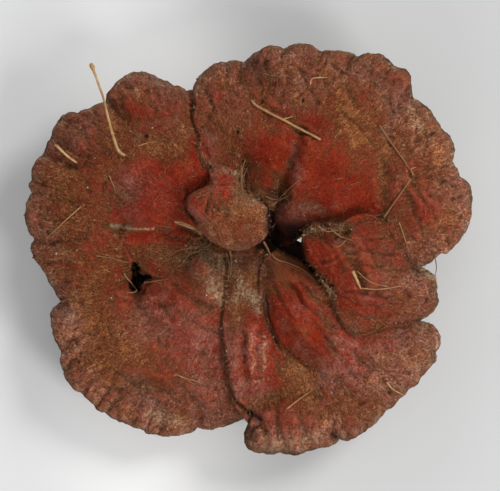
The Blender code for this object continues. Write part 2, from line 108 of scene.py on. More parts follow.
print("noise at three points:", np.round(noise(np.array([0.2, 1.4, 7.7]), 0.5), 3))

# %% [markdown]
# ## Lines and distances
#
# A cap is drawn by a few given points. A Catmull-Rom curve joins them smoothly, and the distance
# from a line drives most of the rest: how a rim rounds off, how deep a furrow is, where dust lies.

# %% Curves and distances


def smooth_line(points, where):
    """Catmull-Rom curve through the points, read at `where`, from 0 at the first to 1 at the last."""
    p = np.array(points, float)
    p = np.vstack([2 * p[0] - p[1], p, 2 * p[-1] - p[-2]])
    at = np.asarray(where, float) * (len(points) - 1)
    i = np.minimum(at.astype(int), len(points) - 2)
    f = (at - i)[:, None]
    a, b, c, d = p[i], p[i + 1], p[i + 2], p[i + 3]
    return 0.5 * (2 * b + (c - a) * f + (2 * a - 5 * b + 4 * c - d) * f**2 + (3 * b - a - 3 * c + d) * f**3)


def line_distance(line, x, y):
    """Distance from each place to a line of points, and how far along it, from 0 to 1, the foot lies."""
    line = np.asarray(line, float)
    near, along = np.full(np.shape(x), np.inf), np.zeros(np.shape(x))
    for k, (a, b) in enumerate(zip(line[:-1], line[1:])):
        step = b[:2] - a[:2]
        f = np.clip(((x - a[0]) * step[0] + (y - a[1]) * step[1]) / max(step @ step, 1e-9), 0, 1)
        d = np.hypot(x - a[0] - f * step[0], y - a[1] - f * step[1])
        closer = d < near
        near, along = np.where(closer, d, near), np.where(closer, (k + f) / (len(line) - 1), along)
    return near, along


def bell(distance, reach):
    """1 at no distance, falling off as a bell curve: e to the power of -(distance / reach)^2."""
    return np.exp(-((distance / reach) ** 2))


WOBBLE, WOBBLE_SIZE = 1.5, 9.0      # in mm: how far noise shakes a stroke, and how long its waves are


def strokes(rows, x, y):
    """Soft brush strokes: each row is a line on the plan, a half width and a strength, and falls off as
    a bell curve across the line. The places are shaken by noise first, so no line is quite even."""
    total = np.zeros(np.shape(x))
    x, y = x + WOBBLE * layered(x, y, WOBBLE_SIZE, 2, 51), y + WOBBLE * layered(x, y, WOBBLE_SIZE, 2, 52)
    for line, width, strength in rows:
        total += strength * bell(line_distance(line, x, y)[0], width)
    return total


def rises(value, low, high):
    """0 below `low`, 1 above `high`, and an S-curve between."""
    f = np.clip((value - low) / (high - low), 0, 1)
    return f * f * (3 - 2 * f)


print("a stroke is", np.round(bell(np.array([0.0, 1.0, 2.0]), 1.0), 2), "strong at 0, 1 and 2 half widths")

# %% [markdown]
# ## The lines of the caps
#
# Each large cap is a fan between two seams, from a short hub line to a long scalloped margin. These are
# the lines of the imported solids, in millimetres, so the skins sit where the solids are. A seam also says
# how far its two caps have fused: 0 is a rolled edge, and 1 a skin that runs on flat, under its neighbour
# or level with it.

# %% Seams, from the hub out: x, y, upper edge of both caps, and how flush each one's skin stays
SEAM_RIGHT_UPPER = [
    (40, 18.5, 62, 60, 0, 0.3), (45, 22.5, 62, 62, 0.2, 0.6), (53.5, 22, 63, 62, 0.3, 0.7),
    (64, 20.5, 65, 64, 0.5, 0.8), (74, 25, 66, 65, 0.9, 0.9), (83, 26, 65, 64, 0.95, 0.95),
    (92, 20.5, 63, 62, 0.95, 0.95), (99.5, 9.5, 61, 60, 0.9, 0.95), (107, -0.5, 59, 57, 0.7, 0.9),
    (115, -8, 58, 54, 0.3, 0.6),
]
SEAM_UPPER_LEFT = [
    (-26, 62, 70, 67, 0.3, 1), (-31.5, 69, 69, 65, 0.1, 1), (-32.5, 75, 68, 64, 0, 1),
    (-31, 81, 67, 62.5, 0, 1), (-35.5, 92.5, 66, 60.5, 0, 1), (-34.5, 102, 63, 58, 0, 1),
    (-35.5, 113, 58, 52, 0, 0.6),
]
SEAM_LEFT_LOWER = [
    (-26.5, 7.5, 53, 52, 0.3, 0.8), (-36, 1.5, 54, 54, 0.5, 0.9), (-46, -6, 56, 54, 0.6, 0.9),
    (-56, -11.5, 56, 53, 0.7, 0.9), (-66, -15, 52, 49, 0.2, 0.3), (-73.5, -5, 50, 44, 0, 0),
    (-81, -15, 52, 49, 0.3, 0.4), (-91, -19.5, 53, 52, 0.95, 0.95), (-102.5, -24, 51, 50, 1, 1),
    (-114, -28, 48, 47, 0.95, 0.95), (-125, -31.5, 42, 42, 0.6, 0.7),
]
SEAM_LOWER_MIDDLE = [
    (-11, -3.5, 60, 57, 0.3, 1), (-10.5, -15, 62, 60, 0.3, 1), (-13.5, -28, 64, 61, 0.1, 1),
    (-16, -40, 65, 60, 0, 1), (-15.5, -52, 64, 58, 0, 1), (-14, -63, 62, 55, 0, 1),
    (-12.5, -74, 60, 52.5, 0, 1), (-10.5, -85, 57, 49, 0, 1), (-7, -96, 54, 44, 0, 1),
    (0, -102.5, 50, 39, 0, 0.6), (5.5, -107, 47, 37, 0, 0),
]
SEAM_MIDDLE_RIGHT = [
    (14.5, 1.5, 60, 60, 0.95, 0.95), (12, -16.5, 62, 61.5, 0.95, 0.95), (12, -32, 63.5, 61, 0.6, 0.9),
    (16, -47, 64.5, 60.5, 0.3, 0.9), (23, -60.5, 64, 59, 0.5, 0.9), (33, -71.5, 63, 57, 0.8, 0.95),
    (43, -82, 59, 54, 0.9, 0.95), (51, -95, 53, 49, 0.8, 0.9), (59, -107, 49, 46, 0.6, 0.8),
    (61, -117, 46, 44, 0.4, 0.6), (64, -124, 44, 42, 0, 0.2),
]
SEAM_LOWER_RIGHT = [
    (57, -19.5, 61, 59, 0.2, 1), (59, -28, 60, 58, 0.2, 1), (61, -38, 61, 58, 0.2, 1),
    (67.5, -47.5, 62, 58, 0.3, 1), (76, -52, 62, 57, 0.4, 1), (86, -49.5, 60, 55, 0.5, 1),
    (95, -46, 57, 52, 0.7, 0.9), (103.5, -45.5, 54, 49, 0.7, 0.8), (111, -44, 52, 47, 0.5, 0.6),
    (118, -44, 50, 46, 0, 0.2),
]
# The two margins that meet at the notch between the lower left and the lower middle cap.
LEFT_OF_WEDGE = (3.5, -107.5, 37)
RIGHT_OF_WEDGE = (-1.0, -120.0, 44)
print("the first seam has", len(SEAM_RIGHT_UPPER), "points")

# %% [markdown]
# ## Hub lines
#
# The hub is where a cap leaves the woody base, half hidden below the young cap in the middle. A cap could
# start from one point, but then its skin would pinch. A short line of its own lets each fan start as wide
# as its real neck, and dip into the dark hollow on the right.

# %% Hub lines, from each cap's first seam to its second: x, y, upper edge
HUB_UPPER_RIGHT = [
    (40, 18.5, 60), (36, 13.5, 53), (30, 9.5, 48), (22.5, 9, 47), (16.5, 13.5, 47), (12, 22, 50),
    (8, 31.5, 54), (1.5, 39, 57), (-1.5, 46, 60), (-2, 55, 63), (-8, 60.5, 66), (-17, 63.5, 69),
    (-26, 62, 70),
]
HUB_UPPER_LEFT = [
    (-26, 62, 67), (-24, 56, 70), (-24.5, 50.5, 68), (-32, 45.5, 64), (-39, 42, 62), (-41, 36.5, 60),
    (-39, 30.5, 58), (-33.5, 24, 55), (-32.5, 18, 53), (-30, 12, 52), (-26.5, 7.5, 52),
]
HUB_LOWER_LEFT = [(-26.5, 7.5, 53), (-22.5, 7, 54), (-17.5, 5.5, 55), (-13.5, 2, 56), (-11, -3.5, 57)]
HUB_LOWER_MIDDLE = [
    (-11, -3.5, 60), (-10, 3.5, 57), (-5.5, 7, 56), (2.5, 7, 56), (11, 5.5, 57), (14.5, 1.5, 59),
]
HUB_LOWER_RIGHT = [
    (14.5, 1.5, 60), (22.5, -3, 61), (31.5, -7, 62), (41, -12.5, 62), (49, -17, 61), (57, -19.5, 60),
]
HUB_RIGHT = [
    (57, -19.5, 61), (51, -13.5, 64), (45, -8, 66), (40, -1.5, 67), (37.5, 6, 67), (38, 13, 66),
    (40, 18.5, 62),
]
print("the first hub line has", len(HUB_UPPER_RIGHT), "points")

# %% [markdown]
# ## Margins
#
# The outline is what the eye knows the mushroom by: blunt scallops, each between two notches where growth
# stood still. Only the notches are given one by one. The stretch between two of them bows out as a parabola
# by a depth read from the photograph, which takes far fewer points than tracing the whole edge.

# %% Margins, anticlockwise: x, y, upper edge, and how far the stretch to the next point bows out
MARGIN_UPPER_RIGHT = [
    (115, -8, 54, 1.5), (132, 2.5, 55, 1.5), (138, 4, 55, 6), (152.5, 42, 57, 3), (144.5, 54.5, 59, 1),
    (139.5, 64.5, 60, 4.5), (132, 87, 60, 2.5), (113.5, 107, 60, 0), (112, 113, 59, 5.5),
    (100.5, 128.5, 58, 5.5), (76, 135.5, 57, 2), (51.5, 138.5, 56, 5), (26, 140.5, 56, 2.5),
    (9.5, 139.5, 56, 0.5), (-0.5, 132, 55, 1.5), (-13, 131, 55, 2.5), (-30, 123, 56, 1), (-35.5, 113, 58, 0),
]
MARGIN_UPPER_LEFT = [
    (-35.5, 113, 52, 0.5), (-40, 112, 52, 1), (-48.5, 115.5, 52, 1), (-58.5, 120.5, 52, 5.5),
    (-85.5, 119.5, 52, 2), (-94.5, 104.5, 50, 1.5), (-107, 100, 50, 0.5), (-113.5, 98, 50, 2),
    (-126.5, 92.5, 49, 1), (-132.5, 80, 48, 0.5), (-138, 68.5, 47, 3), (-145, 51.5, 46, 2),
    (-145.5, 43.5, 46, 5), (-144, 11.5, 45, 2.5), (-143, -2, 43, -0.5), (-133.5, -17, 42, 0.5),
    (-125, -31.5, 42, 0),
]
MARGIN_LOWER_LEFT = [
    (-125, -31.5, 42, 2), (-132.5, -40.5, 41, 2), (-125.5, -64.5, 40, 1.5), (-124, -78, 39, 3),
    (-112, -92.5, 38, 0.5), (-104, -101.5, 37, 1), (-96.5, -107, 36, 0.5), (-83, -113.5, 35, 0.5),
    (-69.5, -119, 35, 1), (-62, -122, 34, 1.5), (-38, -120.5, 35, 0.5), (-34, -117, 36, 1.5),
    (-16.5, -116.5, 37, 1), LEFT_OF_WEDGE + (0,),
]
MARGIN_LOWER_MIDDLE = [
    RIGHT_OF_WEDGE + (0.5,), (0.5, -128.5, 42, 1.5), (11, -134, 40, 1), (24, -133.5, 40, 2.5),
    (42, -132.5, 41, 0.5), (59, -128, 42, 1), (64, -124, 44, 0),
]
MARGIN_LOWER_RIGHT = [
    (64, -124, 42, 1.5), (72, -124, 43, 0.5), (85, -116.5, 42, 0.5), (95.5, -105.5, 43, 1),
    (104.5, -97, 43, 0.5), (111.5, -90.5, 43, 1), (119, -82.5, 44, 0.5), (129.5, -71.5, 44, 0.5),
    (130, -65.5, 45, 2.5), (130, -49, 46, 1.5), (122, -45.5, 46, 0), (118, -44, 46, 0),
]
MARGIN_RIGHT = [
    (118, -44, 50, 0.5), (128.5, -35.5, 50, 2), (129.5, -24, 51, 1), (128, -12, 52, 1),
    (116.5, -11, 53, 0), (115, -8, 58, 0),
]


def one_side(seam, which):
    """A cap's side of a seam: x, y, that cap's upper edge, how flush its skin stays, and how far the two
    caps are joined, which is when both are flush."""
    return [(row[0], row[1], row[2 + which], row[4 + which], row[4] * row[5]) for row in seam]


# name: (first seam, hub, second seam, margin, columns, rows), with a mesh cell near 0.8 mm
FANS = {
    "cap_upper_right": (one_side(SEAM_RIGHT_UPPER, 1), HUB_UPPER_RIGHT, one_side(SEAM_UPPER_LEFT, 0),
                        MARGIN_UPPER_RIGHT, 558, 141),
    "cap_upper_left": (one_side(SEAM_UPPER_LEFT, 1), HUB_UPPER_LEFT, one_side(SEAM_LEFT_LOWER, 0),
                       MARGIN_UPPER_LEFT, 510, 141),
    "cap_lower_left": (one_side(SEAM_LEFT_LOWER, 1), HUB_LOWER_LEFT, one_side(SEAM_LOWER_MIDDLE, 1),
                       MARGIN_LOWER_LEFT, 420, 141),
    "cap_lower_middle": (one_side(SEAM_LOWER_MIDDLE, 0), HUB_LOWER_MIDDLE, one_side(SEAM_MIDDLE_RIGHT, 0),
                         MARGIN_LOWER_MIDDLE, 129, 192),
    "cap_lower_right": (one_side(SEAM_MIDDLE_RIGHT, 1), HUB_LOWER_RIGHT, one_side(SEAM_LOWER_RIGHT, 1),
                        MARGIN_LOWER_RIGHT, 240, 162),
    "cap_right": (one_side(SEAM_LOWER_RIGHT, 0), HUB_RIGHT, one_side(SEAM_RIGHT_UPPER, 0),
                  MARGIN_RIGHT, 129, 141),
}
print("fans:", ", ".join(FANS))

# %% [markdown]
# ## Lumps and furrows
#
# Growth is uneven: a cap swells into crowns, folds where two tongues meet, and draws in behind each
# notch of its margin. Each form here is a brush stroke with a width and a height. The first list holds
# those of the solids, and the second the smaller ones that only show close up.

# %% The relief of the caps, in mm: line, half width, height
RELIEF = [
    ([(57, 50), (70, 62)], 30.0, 9.0),
    ([(14, 72), (28, 76)], 17.0, 7.0),
    ([(37, 82), (31, 64), (23, 48), (16, 34)], 7.0, -9.0),
    ([(108, 52), (128, 30)], 12.0, 4.0),
    ([(97, 78), (92, 60), (94, 27)], 5.0, -3.0),
    ([(-78, 52), (-48, 46)], 24.0, 8.0),
    ([(-56, 92), (-46, 104)], 13.0, 4.0),
    ([(-92, 20), (-60, 19), (-36, 18)], 4.5, -3.5),
    ([(-100, 8), (-70, 6)], 11.0, 4.0),
    ([(-118, 60), (-98, 72)], 7.0, -3.0),
    ([(-70, -60), (-42, -52)], 24.0, 7.0),
    ([(-73.5, -14), (-73.5, -20)], 5.5, -20.0),
    ([(-28, -8), (-24, -24)], 8.0, 5.0),
    ([(-100, -92), (-70, -84), (-46, -96)], 5.0, -3.5),
    ([(-6, -44), (-7, -72)], 4.5, 1.6),
    ([(4, -46), (4, -70)], 4.0, 1.6),
    ([(-1, -46), (-1.5, -70)], 2.6, -0.8),
    ([(8, -100), (26, -92), (46, -94)], 5.5, -4.0),
    ([(20, -16), (26, -36), (38, -50), (54, -70), (72, -88)], 7.0, 3.6),
    ([(32, -20), (40, -40), (58, -62)], 3.4, -1.8),
    ([(62, -84), (76, -98)], 4.0, -4.0),
    ([(90, -66), (112, -62)], 11.0, 4.0),
    ([(44, 2), (56, -8)], 10.0, 6.0),
    ([(40, 16), (56, 12), (68, 18)], 4.0, -4.0),
    ([(66, 14), (74, -4), (80, -22)], 4.0, -2.5),
    ([(84, -8), (104, -22)], 9.0, 3.0),
    ([(14, 27), (17, 17), (21, 10)], 4.5, -11.0),
]

# %% [markdown]
# ## Finer folds and creases
#
# Close up the skin is wrinkled: ribs on the lower tongue, wrinkles across the right cap, shallow dents on
# the left ones. Noise alone puts such folds anywhere, so those that show in the photograph are strokes
# here, given in its pixels, and noise only shakes and breaks them.

# %% Finer folds and creases: line in pixels, half width in mm, height in mm
FOLDS = [
    ((123, 240), (127, 249), (131.5, 256), (134, 260), 2.3, 1.7),
    ((308, 136), (302, 164), (292, 188), 4.5, 1.4), ((411, 176), (432, 168), (456, 160), 2.4, -1.7),
    ((411, 176), (440, 182), (466, 192), 2.2, -1.5), ((412, 182), (442, 206), (466, 222), 2.2, -1.6),
    ((412, 186), (436, 222), (450, 246), 2.2, -1.6), ((404, 190), (420, 230), (428, 262), 2.4, -1.6),
    ((414, 178), (398, 172), (380, 175), 2.2, -1.4), ((430, 128), (418, 140), (404, 152), 2.6, -1.8),
    ((436, 129), (426, 140), (424, 148), 1.6, -1.6), ((411, 90), (404, 104), (388, 116), 2.2, -1.6),
    ((400, 108), (408, 112), (404, 122), 1.6, -1.3), ((350, 62), (345, 84), (352, 104), 2.4, -1.8),
    ((322, 52), (318, 70), (326, 92), 2.2, -1.5), ((284, 62), (287, 82), (278, 102), 2.6, -2.2),
    ((266, 62), (270, 82), (262, 104), 2, -1.6), ((245, 64), (240, 84), (252, 102), 2.4, -1.9),
    ((228, 64), (229, 84), (236, 96), 1.8, -1.4), ((206, 90), (214, 110), (204, 128), 2, -1.5),
    ((196, 112), (210, 118), (224, 134), 1.8, -1.4), ((318, 78), (312, 92), (318, 104), 1.5, -1.5),
    ((338, 110), (360, 130), (378, 152), (388, 180), 3, -1.4), ((262, 104), (290, 122), (312, 138), 3, -1.2),
    ((188, 190), (190, 213), (198, 222), 1.6, -1.8), ((179, 226), (195, 231), (207, 241), 1.8, -1.8),
    ((105, 225), (130, 232), (165, 234), (190, 240), 2.2, -1.5),
    ((112, 170), (106, 190), (110, 212), 2.4, -1), ((86, 128), (92, 150), (88, 166), 2.2, -1.4),
    ((62, 160), (78, 170), (92, 190), 2, -1.2), ((40, 190), (60, 196), (84, 204), 2.2, -1.4),
    ((34, 215), (58, 222), (82, 220), 2, -1.3), ((42, 250), (62, 240), (88, 238), 2.2, -1.4),
    ((50, 272), (72, 262), (98, 260), 2, -1.2), ((150, 76), (148, 96), (156, 112), 2, -1.3),
    ((172, 82), (166, 98), (172, 116), 2, -1.3), ((116, 84), (124, 104), (130, 118), 2, -1.3),
    ((100, 311), (116, 298), (131, 301), 1.8, -1.2),
    ((140, 305), (173, 305), (204, 326), (222, 332), 3, -0.8), ((119, 371), (140, 383), (158, 401), 3, -1.8),
    ((70, 380), (91, 392), (118, 388), 2.2, -1.4), ((82, 330), (100, 336), (122, 332), 2.2, -1),
    ((160, 300), (172, 318), (160, 346), (140, 362), 3, -1), ((178, 380), (196, 396), (206, 414), 2.2, -1.2),
    ((205, 352), (212, 378), (222, 402), 2.4, -1.2), ((238, 325), (235, 345), (238, 372), 2.6, 0.8),
    ((246, 330), (244, 350), (247, 380), 2, -0.9), ((253, 328), (252, 350), (254, 378), 2.4, 0.8),
    ((259, 332), (258, 352), (261, 376), 1.8, -0.8), ((265, 326), (264, 350), (268, 370), 2.4, 0.7),
    ((273, 338), (274, 356), (282, 372), 1.8, -1),
    ((270, 257), (278, 277), (287, 297), (294, 320), (308, 340), (325, 352), 3.4, 1.4),
    ((266, 290), (269, 318), (279, 343), (290, 355), (306, 364), 1.7, -1.6),
    ((275, 286), (283, 306), (295, 320), (311, 334), (327, 346), 1.7, -1.2),
    ((284, 270), (305, 295), (322, 312), (338, 333), 2.6, 1.2),
    ((289, 280), (301, 302), (315, 312), (333, 324), 1.7, -1.1),
    ((268, 274), (280, 270), (292, 274), 1.6, -1), ((300, 280), (314, 296), (330, 304), 1.6, -1.2),
    ((325, 337), (345, 362), (358, 383), (362, 402), 2.2, -1.5),
    ((342, 343), (364, 362), (382, 377), (394, 398), 2.2, -1.5),
    ((348, 350), (376, 356), (402, 353), (430, 350), 2.4, -1.4),
    ((350, 356), (380, 370), (410, 372), 2, -1.1), ((312, 366), (330, 384), (338, 410), 2.2, -1.3),
    ((275, 408), (280, 426), (278, 450), 2.2, -1.6), ((298, 408), (303, 426), (302, 446), 2, -1.5),
    ((322, 414), (326, 430), (334, 436), 2, -1.3),
    ((250, 430), (256, 425), (264, 424), (268, 430), 1.3, -2.2),
    ((255, 438), (262, 434), (268, 436), 1.4, 1.3), ((306, 232), (316, 246), (324, 262), 1.5, -0.9),
    ((322, 236), (334, 252), (344, 270), 1.4, -0.8), ((340, 240), (364, 250), (392, 254), 1.6, -0.9),
    ((345, 258), (370, 266), (398, 270), (424, 268), 1.6, -0.9),
    ((330, 290), (352, 300), (380, 306), 1.6, -0.8), ((350, 312), (376, 318), (404, 312), 1.8, -0.8),
    ((432, 283), (428, 292), (425, 300), 1.7, -1.6), ((396, 300), (410, 296), (430, 296), 1.8, -1.1),
    ((262, 96), (257, 78), (268, 62), 2, -1.8), ((272, 96), (276, 78), (292, 70), (304, 74), 1.8, -1.6),
    ((300, 96), (306, 84), (300, 70), 1.8, -1.4), ((332, 66), (342, 74), (338, 88), 1.8, -1.5),
    ((372, 62), (368, 78), (380, 92), 2, -1.5), ((392, 84), (384, 98), (392, 112), 1.8, -1.4),
    ((212, 200), (222, 210), (226, 222), 2.2, -1), ((236, 152), (232, 172), (226, 188), 2.4, 1.5),
    ((246, 158), (246, 178), (252, 190), 2.2, -1.6), ((262, 200), (276, 204), (290, 196), 1.8, -1.2),
    ((314, 226), (320, 236), (321, 246), 1.2, -0.9),
    ((309, 242), (315, 255), (323, 266), (332, 275), 1.2, -0.9),
    ((335, 237), (345, 252), (354, 268), 1.2, -0.9),
    ((362, 240), (371, 252), (376, 264), (390, 274), 1.3, -1),
    ((355, 233), (367, 239), (382, 237), 1.2, -0.8),
    ((345, 290), (365, 292), (385, 297), (402, 290), 1.3, -0.9),
    ((318, 262), (328, 262), (336, 256), 1, -0.7), ((112, 300), (108, 322), (118, 345), 1.6, -0.9),
    ((150, 330), (168, 345), (190, 348), 2.2, -0.4), ((95, 345), (118, 352), (140, 350), 1.9, -0.7),
    ((128, 385), (150, 378), (176, 384), 2.2, -0.5), ((176, 284), (196, 300), (214, 306), 2.2, -0.7),
    ((96, 140), (110, 152), (118, 168), 1.4, -0.9), ((128, 140), (146, 134), (170, 140), 1.4, -0.8),
    ((72, 200), (84, 212), (92, 232), 1.4, -0.9),
]
# The black pit between two caps as a ring of pixels, how far down it goes, and its wall's two sides in mm.
PIT = [
    (134.5, 261.5), (138.5, 261.5), (140, 267), (139, 272), (143, 275), (151, 274), (152.5, 277),
    (146, 279.5), (141.5, 283), (140.5, 290), (135, 291), (130.5, 287), (130, 282), (133.5, 278),
    (134.5, 272), (133, 267),
]
PIT_DEPTH, PIT_WALL = 11.0, (-1.3, 1.2)
print("folds:", len(FOLDS))

# %% [markdown]
# ## How a cap is made
#
# A real cap is a plump pad that thins towards its margin. It rolls over softly there, and tightly where
# it met a neighbour. These numbers say how plump, round and deep, so that one recipe serves all six fans.
# Its small parts come first: the scalloped margin, the pit, the rounding of an edge and the underside.

# %% How a cap is made, in mm
SEAT_Z, ROOT_GAP = 34.0, 0.3            # the top of the stem, and how far the caps clear it
LIP, RIM_DEPTH = 4.5, 4.5               # from the rim up to the skin's edge height and down to the underside
EDGE_ROUND = 6.0                        # how far in from an edge the rounding goes
SEAM_SHARP = 1.8                        # how many times tighter than that a cap rolls over at a seam
PLUMP, PLUMP_REACH = 5.0, 22.0          # how far a cap swells, and how far from its edge that takes
ROOT_REACH, SPREAD = 58.0, 46.0         # where the underside leaves the seat, and how far it takes to rise
FURROW_DEPTH, FURROW_WIDTH = 2.6, 3.4   # the furrow that runs in from each notch
FURROW_LENGTH = 0.3                     # its length as a share of the cap's
STRETCH = 40                            # points from one notch of the margin to the next
RIPPLES = [(1.6, 6.5, 3.3), (0.7, 2.6, 8.1)]    # the margin's ripples: height, size, place in the noise
RIPPLE_FADE = 8.0                       # how far from the ends of a margin they are full
THINNEST = 1.0                          # skin to underside


def scalloped(points, columns):
    """The margin as evenly spaced points: parabolas between the notches, with small ripples added
    outwards. Also gives how far along, in mm, each point and each notch lies."""
    rows, notches = [], []
    for (x0, y0, z0, bulge), (x1, y1, z1, _) in zip(points, points[1:]):
        f = np.arange(STRETCH) / STRETCH
        length = math.hypot(x1 - x0, y1 - y0)
        out = bulge * 4 * f * (1 - f) / length
        notches.append(len(rows) * STRETCH)
        rows.append(np.stack([x0 + (x1 - x0) * f + (y1 - y0) * out, y0 + (y1 - y0) * f - (x1 - x0) * out,
                              z0 + (z1 - z0) * f], -1))
    dense = np.vstack(rows + [np.array([points[-1][:3]])])
    length = np.concatenate([[0], np.cumsum(np.linalg.norm(np.diff(dense[:, :2], axis=0), axis=1))])
    even = np.linspace(0, length[-1], columns + 1)
    line = np.stack([np.interp(even, length, dense[:, k]) for k in range(3)], -1)
    side = np.gradient(line[:, :2], axis=0)
    side = np.stack([side[:, 1], -side[:, 0]], -1) / np.linalg.norm(side, axis=1, keepdims=True)
    ripple = sum(height * noise(even / size, 0, place) for height, size, place in RIPPLES)
    ripple *= rises(np.minimum(even, even[-1] - even), 0, RIPPLE_FADE)
    line[:, :2] += side * ripple[:, None]
    return line, even, [length[k] for k in notches[1:]]


def inside(ring, x, y):
    """Whether each place lies inside a ring of points, by counting the edges crossed to its right."""
    crossed = np.zeros(np.shape(x), int)
    for (x0, y0), (x1, y1) in zip(ring, np.roll(ring, -1, axis=0)):
        spans = (y0 > y) != (y1 > y)
        crossed += spans & (x < x0 + (y - y0) / (y1 - y0 + 1e-12) * (x1 - x0))
    return crossed % 2 == 1


def pit_share(x, y):
    """1 inside the pit and 0 well outside it, with a soft wall."""
    ring = on_plan(PIT)
    d = line_distance(np.vstack([ring, ring[:1]]), x, y)[0]
    return rises(np.where(inside(ring, x, y), d, -d), *PIT_WALL)


def rounding(d):
    """A quarter circle over the distance from an edge: 0 at the rim and 1 past the rounding."""
    return np.sqrt(1 - (1 - np.clip(d / EDGE_ROUND, 0, 1)) ** 2)


def underside(x, y, rim):
    """The height of a cap's underside: flat on the seat, then rising in an S-curve to the rim."""
    low = SEAT_Z + ROOT_GAP
    return low + (rim - RIM_DEPTH - low) * rises(np.hypot(x, y), ROOT_REACH, ROOT_REACH + SPREAD)


print("relief strokes:", len(RELIEF))

# %% [markdown]
# ## A fan as a surface
#
# A fan has four edges: a hub, a margin and two sides. A Coons patch fills them: it adds the two ruled
# surfaces between opposite edges and takes away the one through the corners. Its two parameters are what
# a mushroom grows by, outwards from the stem and round the margin, so growth rings and radial folds are
# simple functions of them.

# %% Fan surface

# Where a hub line tucks in under the young cap: from and to, as shares of the line, and by how many mm.
HUB_TUCK = {"cap_upper_right": (0.42, 1.1, 3.0), "cap_upper_left": (-0.1, 1.1, 2.5),
            "cap_lower_left": (-0.1, 1.1, 4.5)}
NO_TUCK = (2, 3, 0)
# How far a cap's side reaches past a seam, and how much farther where the caps are flush.
TUCK, FLUSH_TUCK = 0.6, 2.2
# Where a hub line runs on down into the hollow: from and to, as shares, then how far in x, in y and down.
HUB_SKIRT = {"cap_lower_right": (0.0, 0.85, 3.4, 6.6, 16.0), "cap_upper_right": (0.13, 0.46, 1.5, -4.5, 13.0)}
SKIRT_SHARE = 0.06      # the part of the rows, next to the hub, that takes part
PUCKERED = 27.0         # how far in from the margin the skin is puckered
CREASES = [(1.0, 15.0, 31), (0.3, 8.0, 37)]     # share, size in mm and seed of the noise they follow
CREASE_WIDTH = 0.10     # in units of that noise
LEAST_BODY = 1.5        # the skin stands at least this far over its rim
FAR_OFF, HUB_FAR_OFF = 40, 30   # how far away a crack counts where the skins have closed over it


def tucked(line, amount, left):
    """A line on the plan moved sideways by an amount, fading out at both ends."""
    step = np.gradient(line[:, :2], axis=0)
    step /= np.maximum(np.linalg.norm(step, axis=1, keepdims=True), 1e-9)
    side = np.stack([-step[:, 1], step[:, 0]], -1) * (1 if left else -1)
    t = np.linspace(0, 1, len(line))
    amount = amount * rises(t, -0.02, 0.05) * rises(1 - t, 0, 0.06)
    moved = line.copy()
    moved[:, :2] += side * amount[:, None]
    return moved


def skirted(name, s, t, upper, lower):
    """Draws the rows next to a hub line outwards and down, most of all the first, into the hollow."""
    begin, end, reach_x, reach_y, drop = HUB_SKIRT[name]
    along = rises(s, begin, begin + 0.12) * rises(-s, -end, -end + 0.2)
    weight = np.clip(1 - t / SKIRT_SHARE, 0, 1)[:, None] * along[None]
    for grid in (upper, lower):
        grid += np.dstack([reach_x * weight, reach_y * weight, -drop * weight**1.5])
    lower[..., 2] = np.clip(lower[..., 2], SEAT_Z + ROOT_GAP, upper[..., 2] - THINNEST)


def coons(near, margin, side_a, side_b, s, t):
    """The surface between four lines: the two ruled ones added, less the one through the corners."""
    v, u = t[:, None, None], s[None, :, None]
    return (
        (1 - v) * near[None] + v * margin[None] + (1 - u) * side_a[:, None] + u * side_b[:, None]
        - (1 - v) * ((1 - u) * near[0] + u * near[-1]) - v * ((1 - u) * margin[0] + u * margin[-1])
    )


def skin_height(x, y, swell, to_margin, to_seam, along, seed):
    """How high the skin stands over its rim, in mm: the swelling, the strokes, lumps of noise, and near
    the margin a pucker of folds that run outwards, crossed by growth rings and cut by creases."""
    seams = rises(to_seam, 2, 14)
    outer = bell(to_margin, PUCKERED)
    along = along + 9.0 * layered(x, y, 22.0, 2, 44)
    folds = noise(along / 6.5 + 0 * x, to_margin / 30.0, 2.2, seed)
    folds = folds + 0.4 * noise(along / 2.8, to_margin / 12.0, 4.4, seed)
    folds = folds * (0.35 + 2.4 * rises(layered(x, y, 26.0, 2, 47), -0.25, 0.45))
    rings = noise(along / 40.0 + 0 * x, to_margin / 3.4, 6.1, seed)
    creases = sum(share * bell(layered(x, y, size, 2, at), CREASE_WIDTH) for share, size, at in CREASES)
    body = LIP + swell + strokes(RELIEF, x, y) + 2.6 * layered(x, y, 24.0, 2, 3)
    body = body + strokes(FOLDS, x, y) + (0.5 + 1.7 * outer) * layered(x, y, 12.0, 3, 8)
    body = body + seams * outer * (1.4 * folds + 0.8 * rings) + 0.35 * rings * seams
    return body - (0.12 + 0.6 * outer) * creases + (0.22 + 0.1 * outer) * layered(x, y, 2.8, 2, 12)


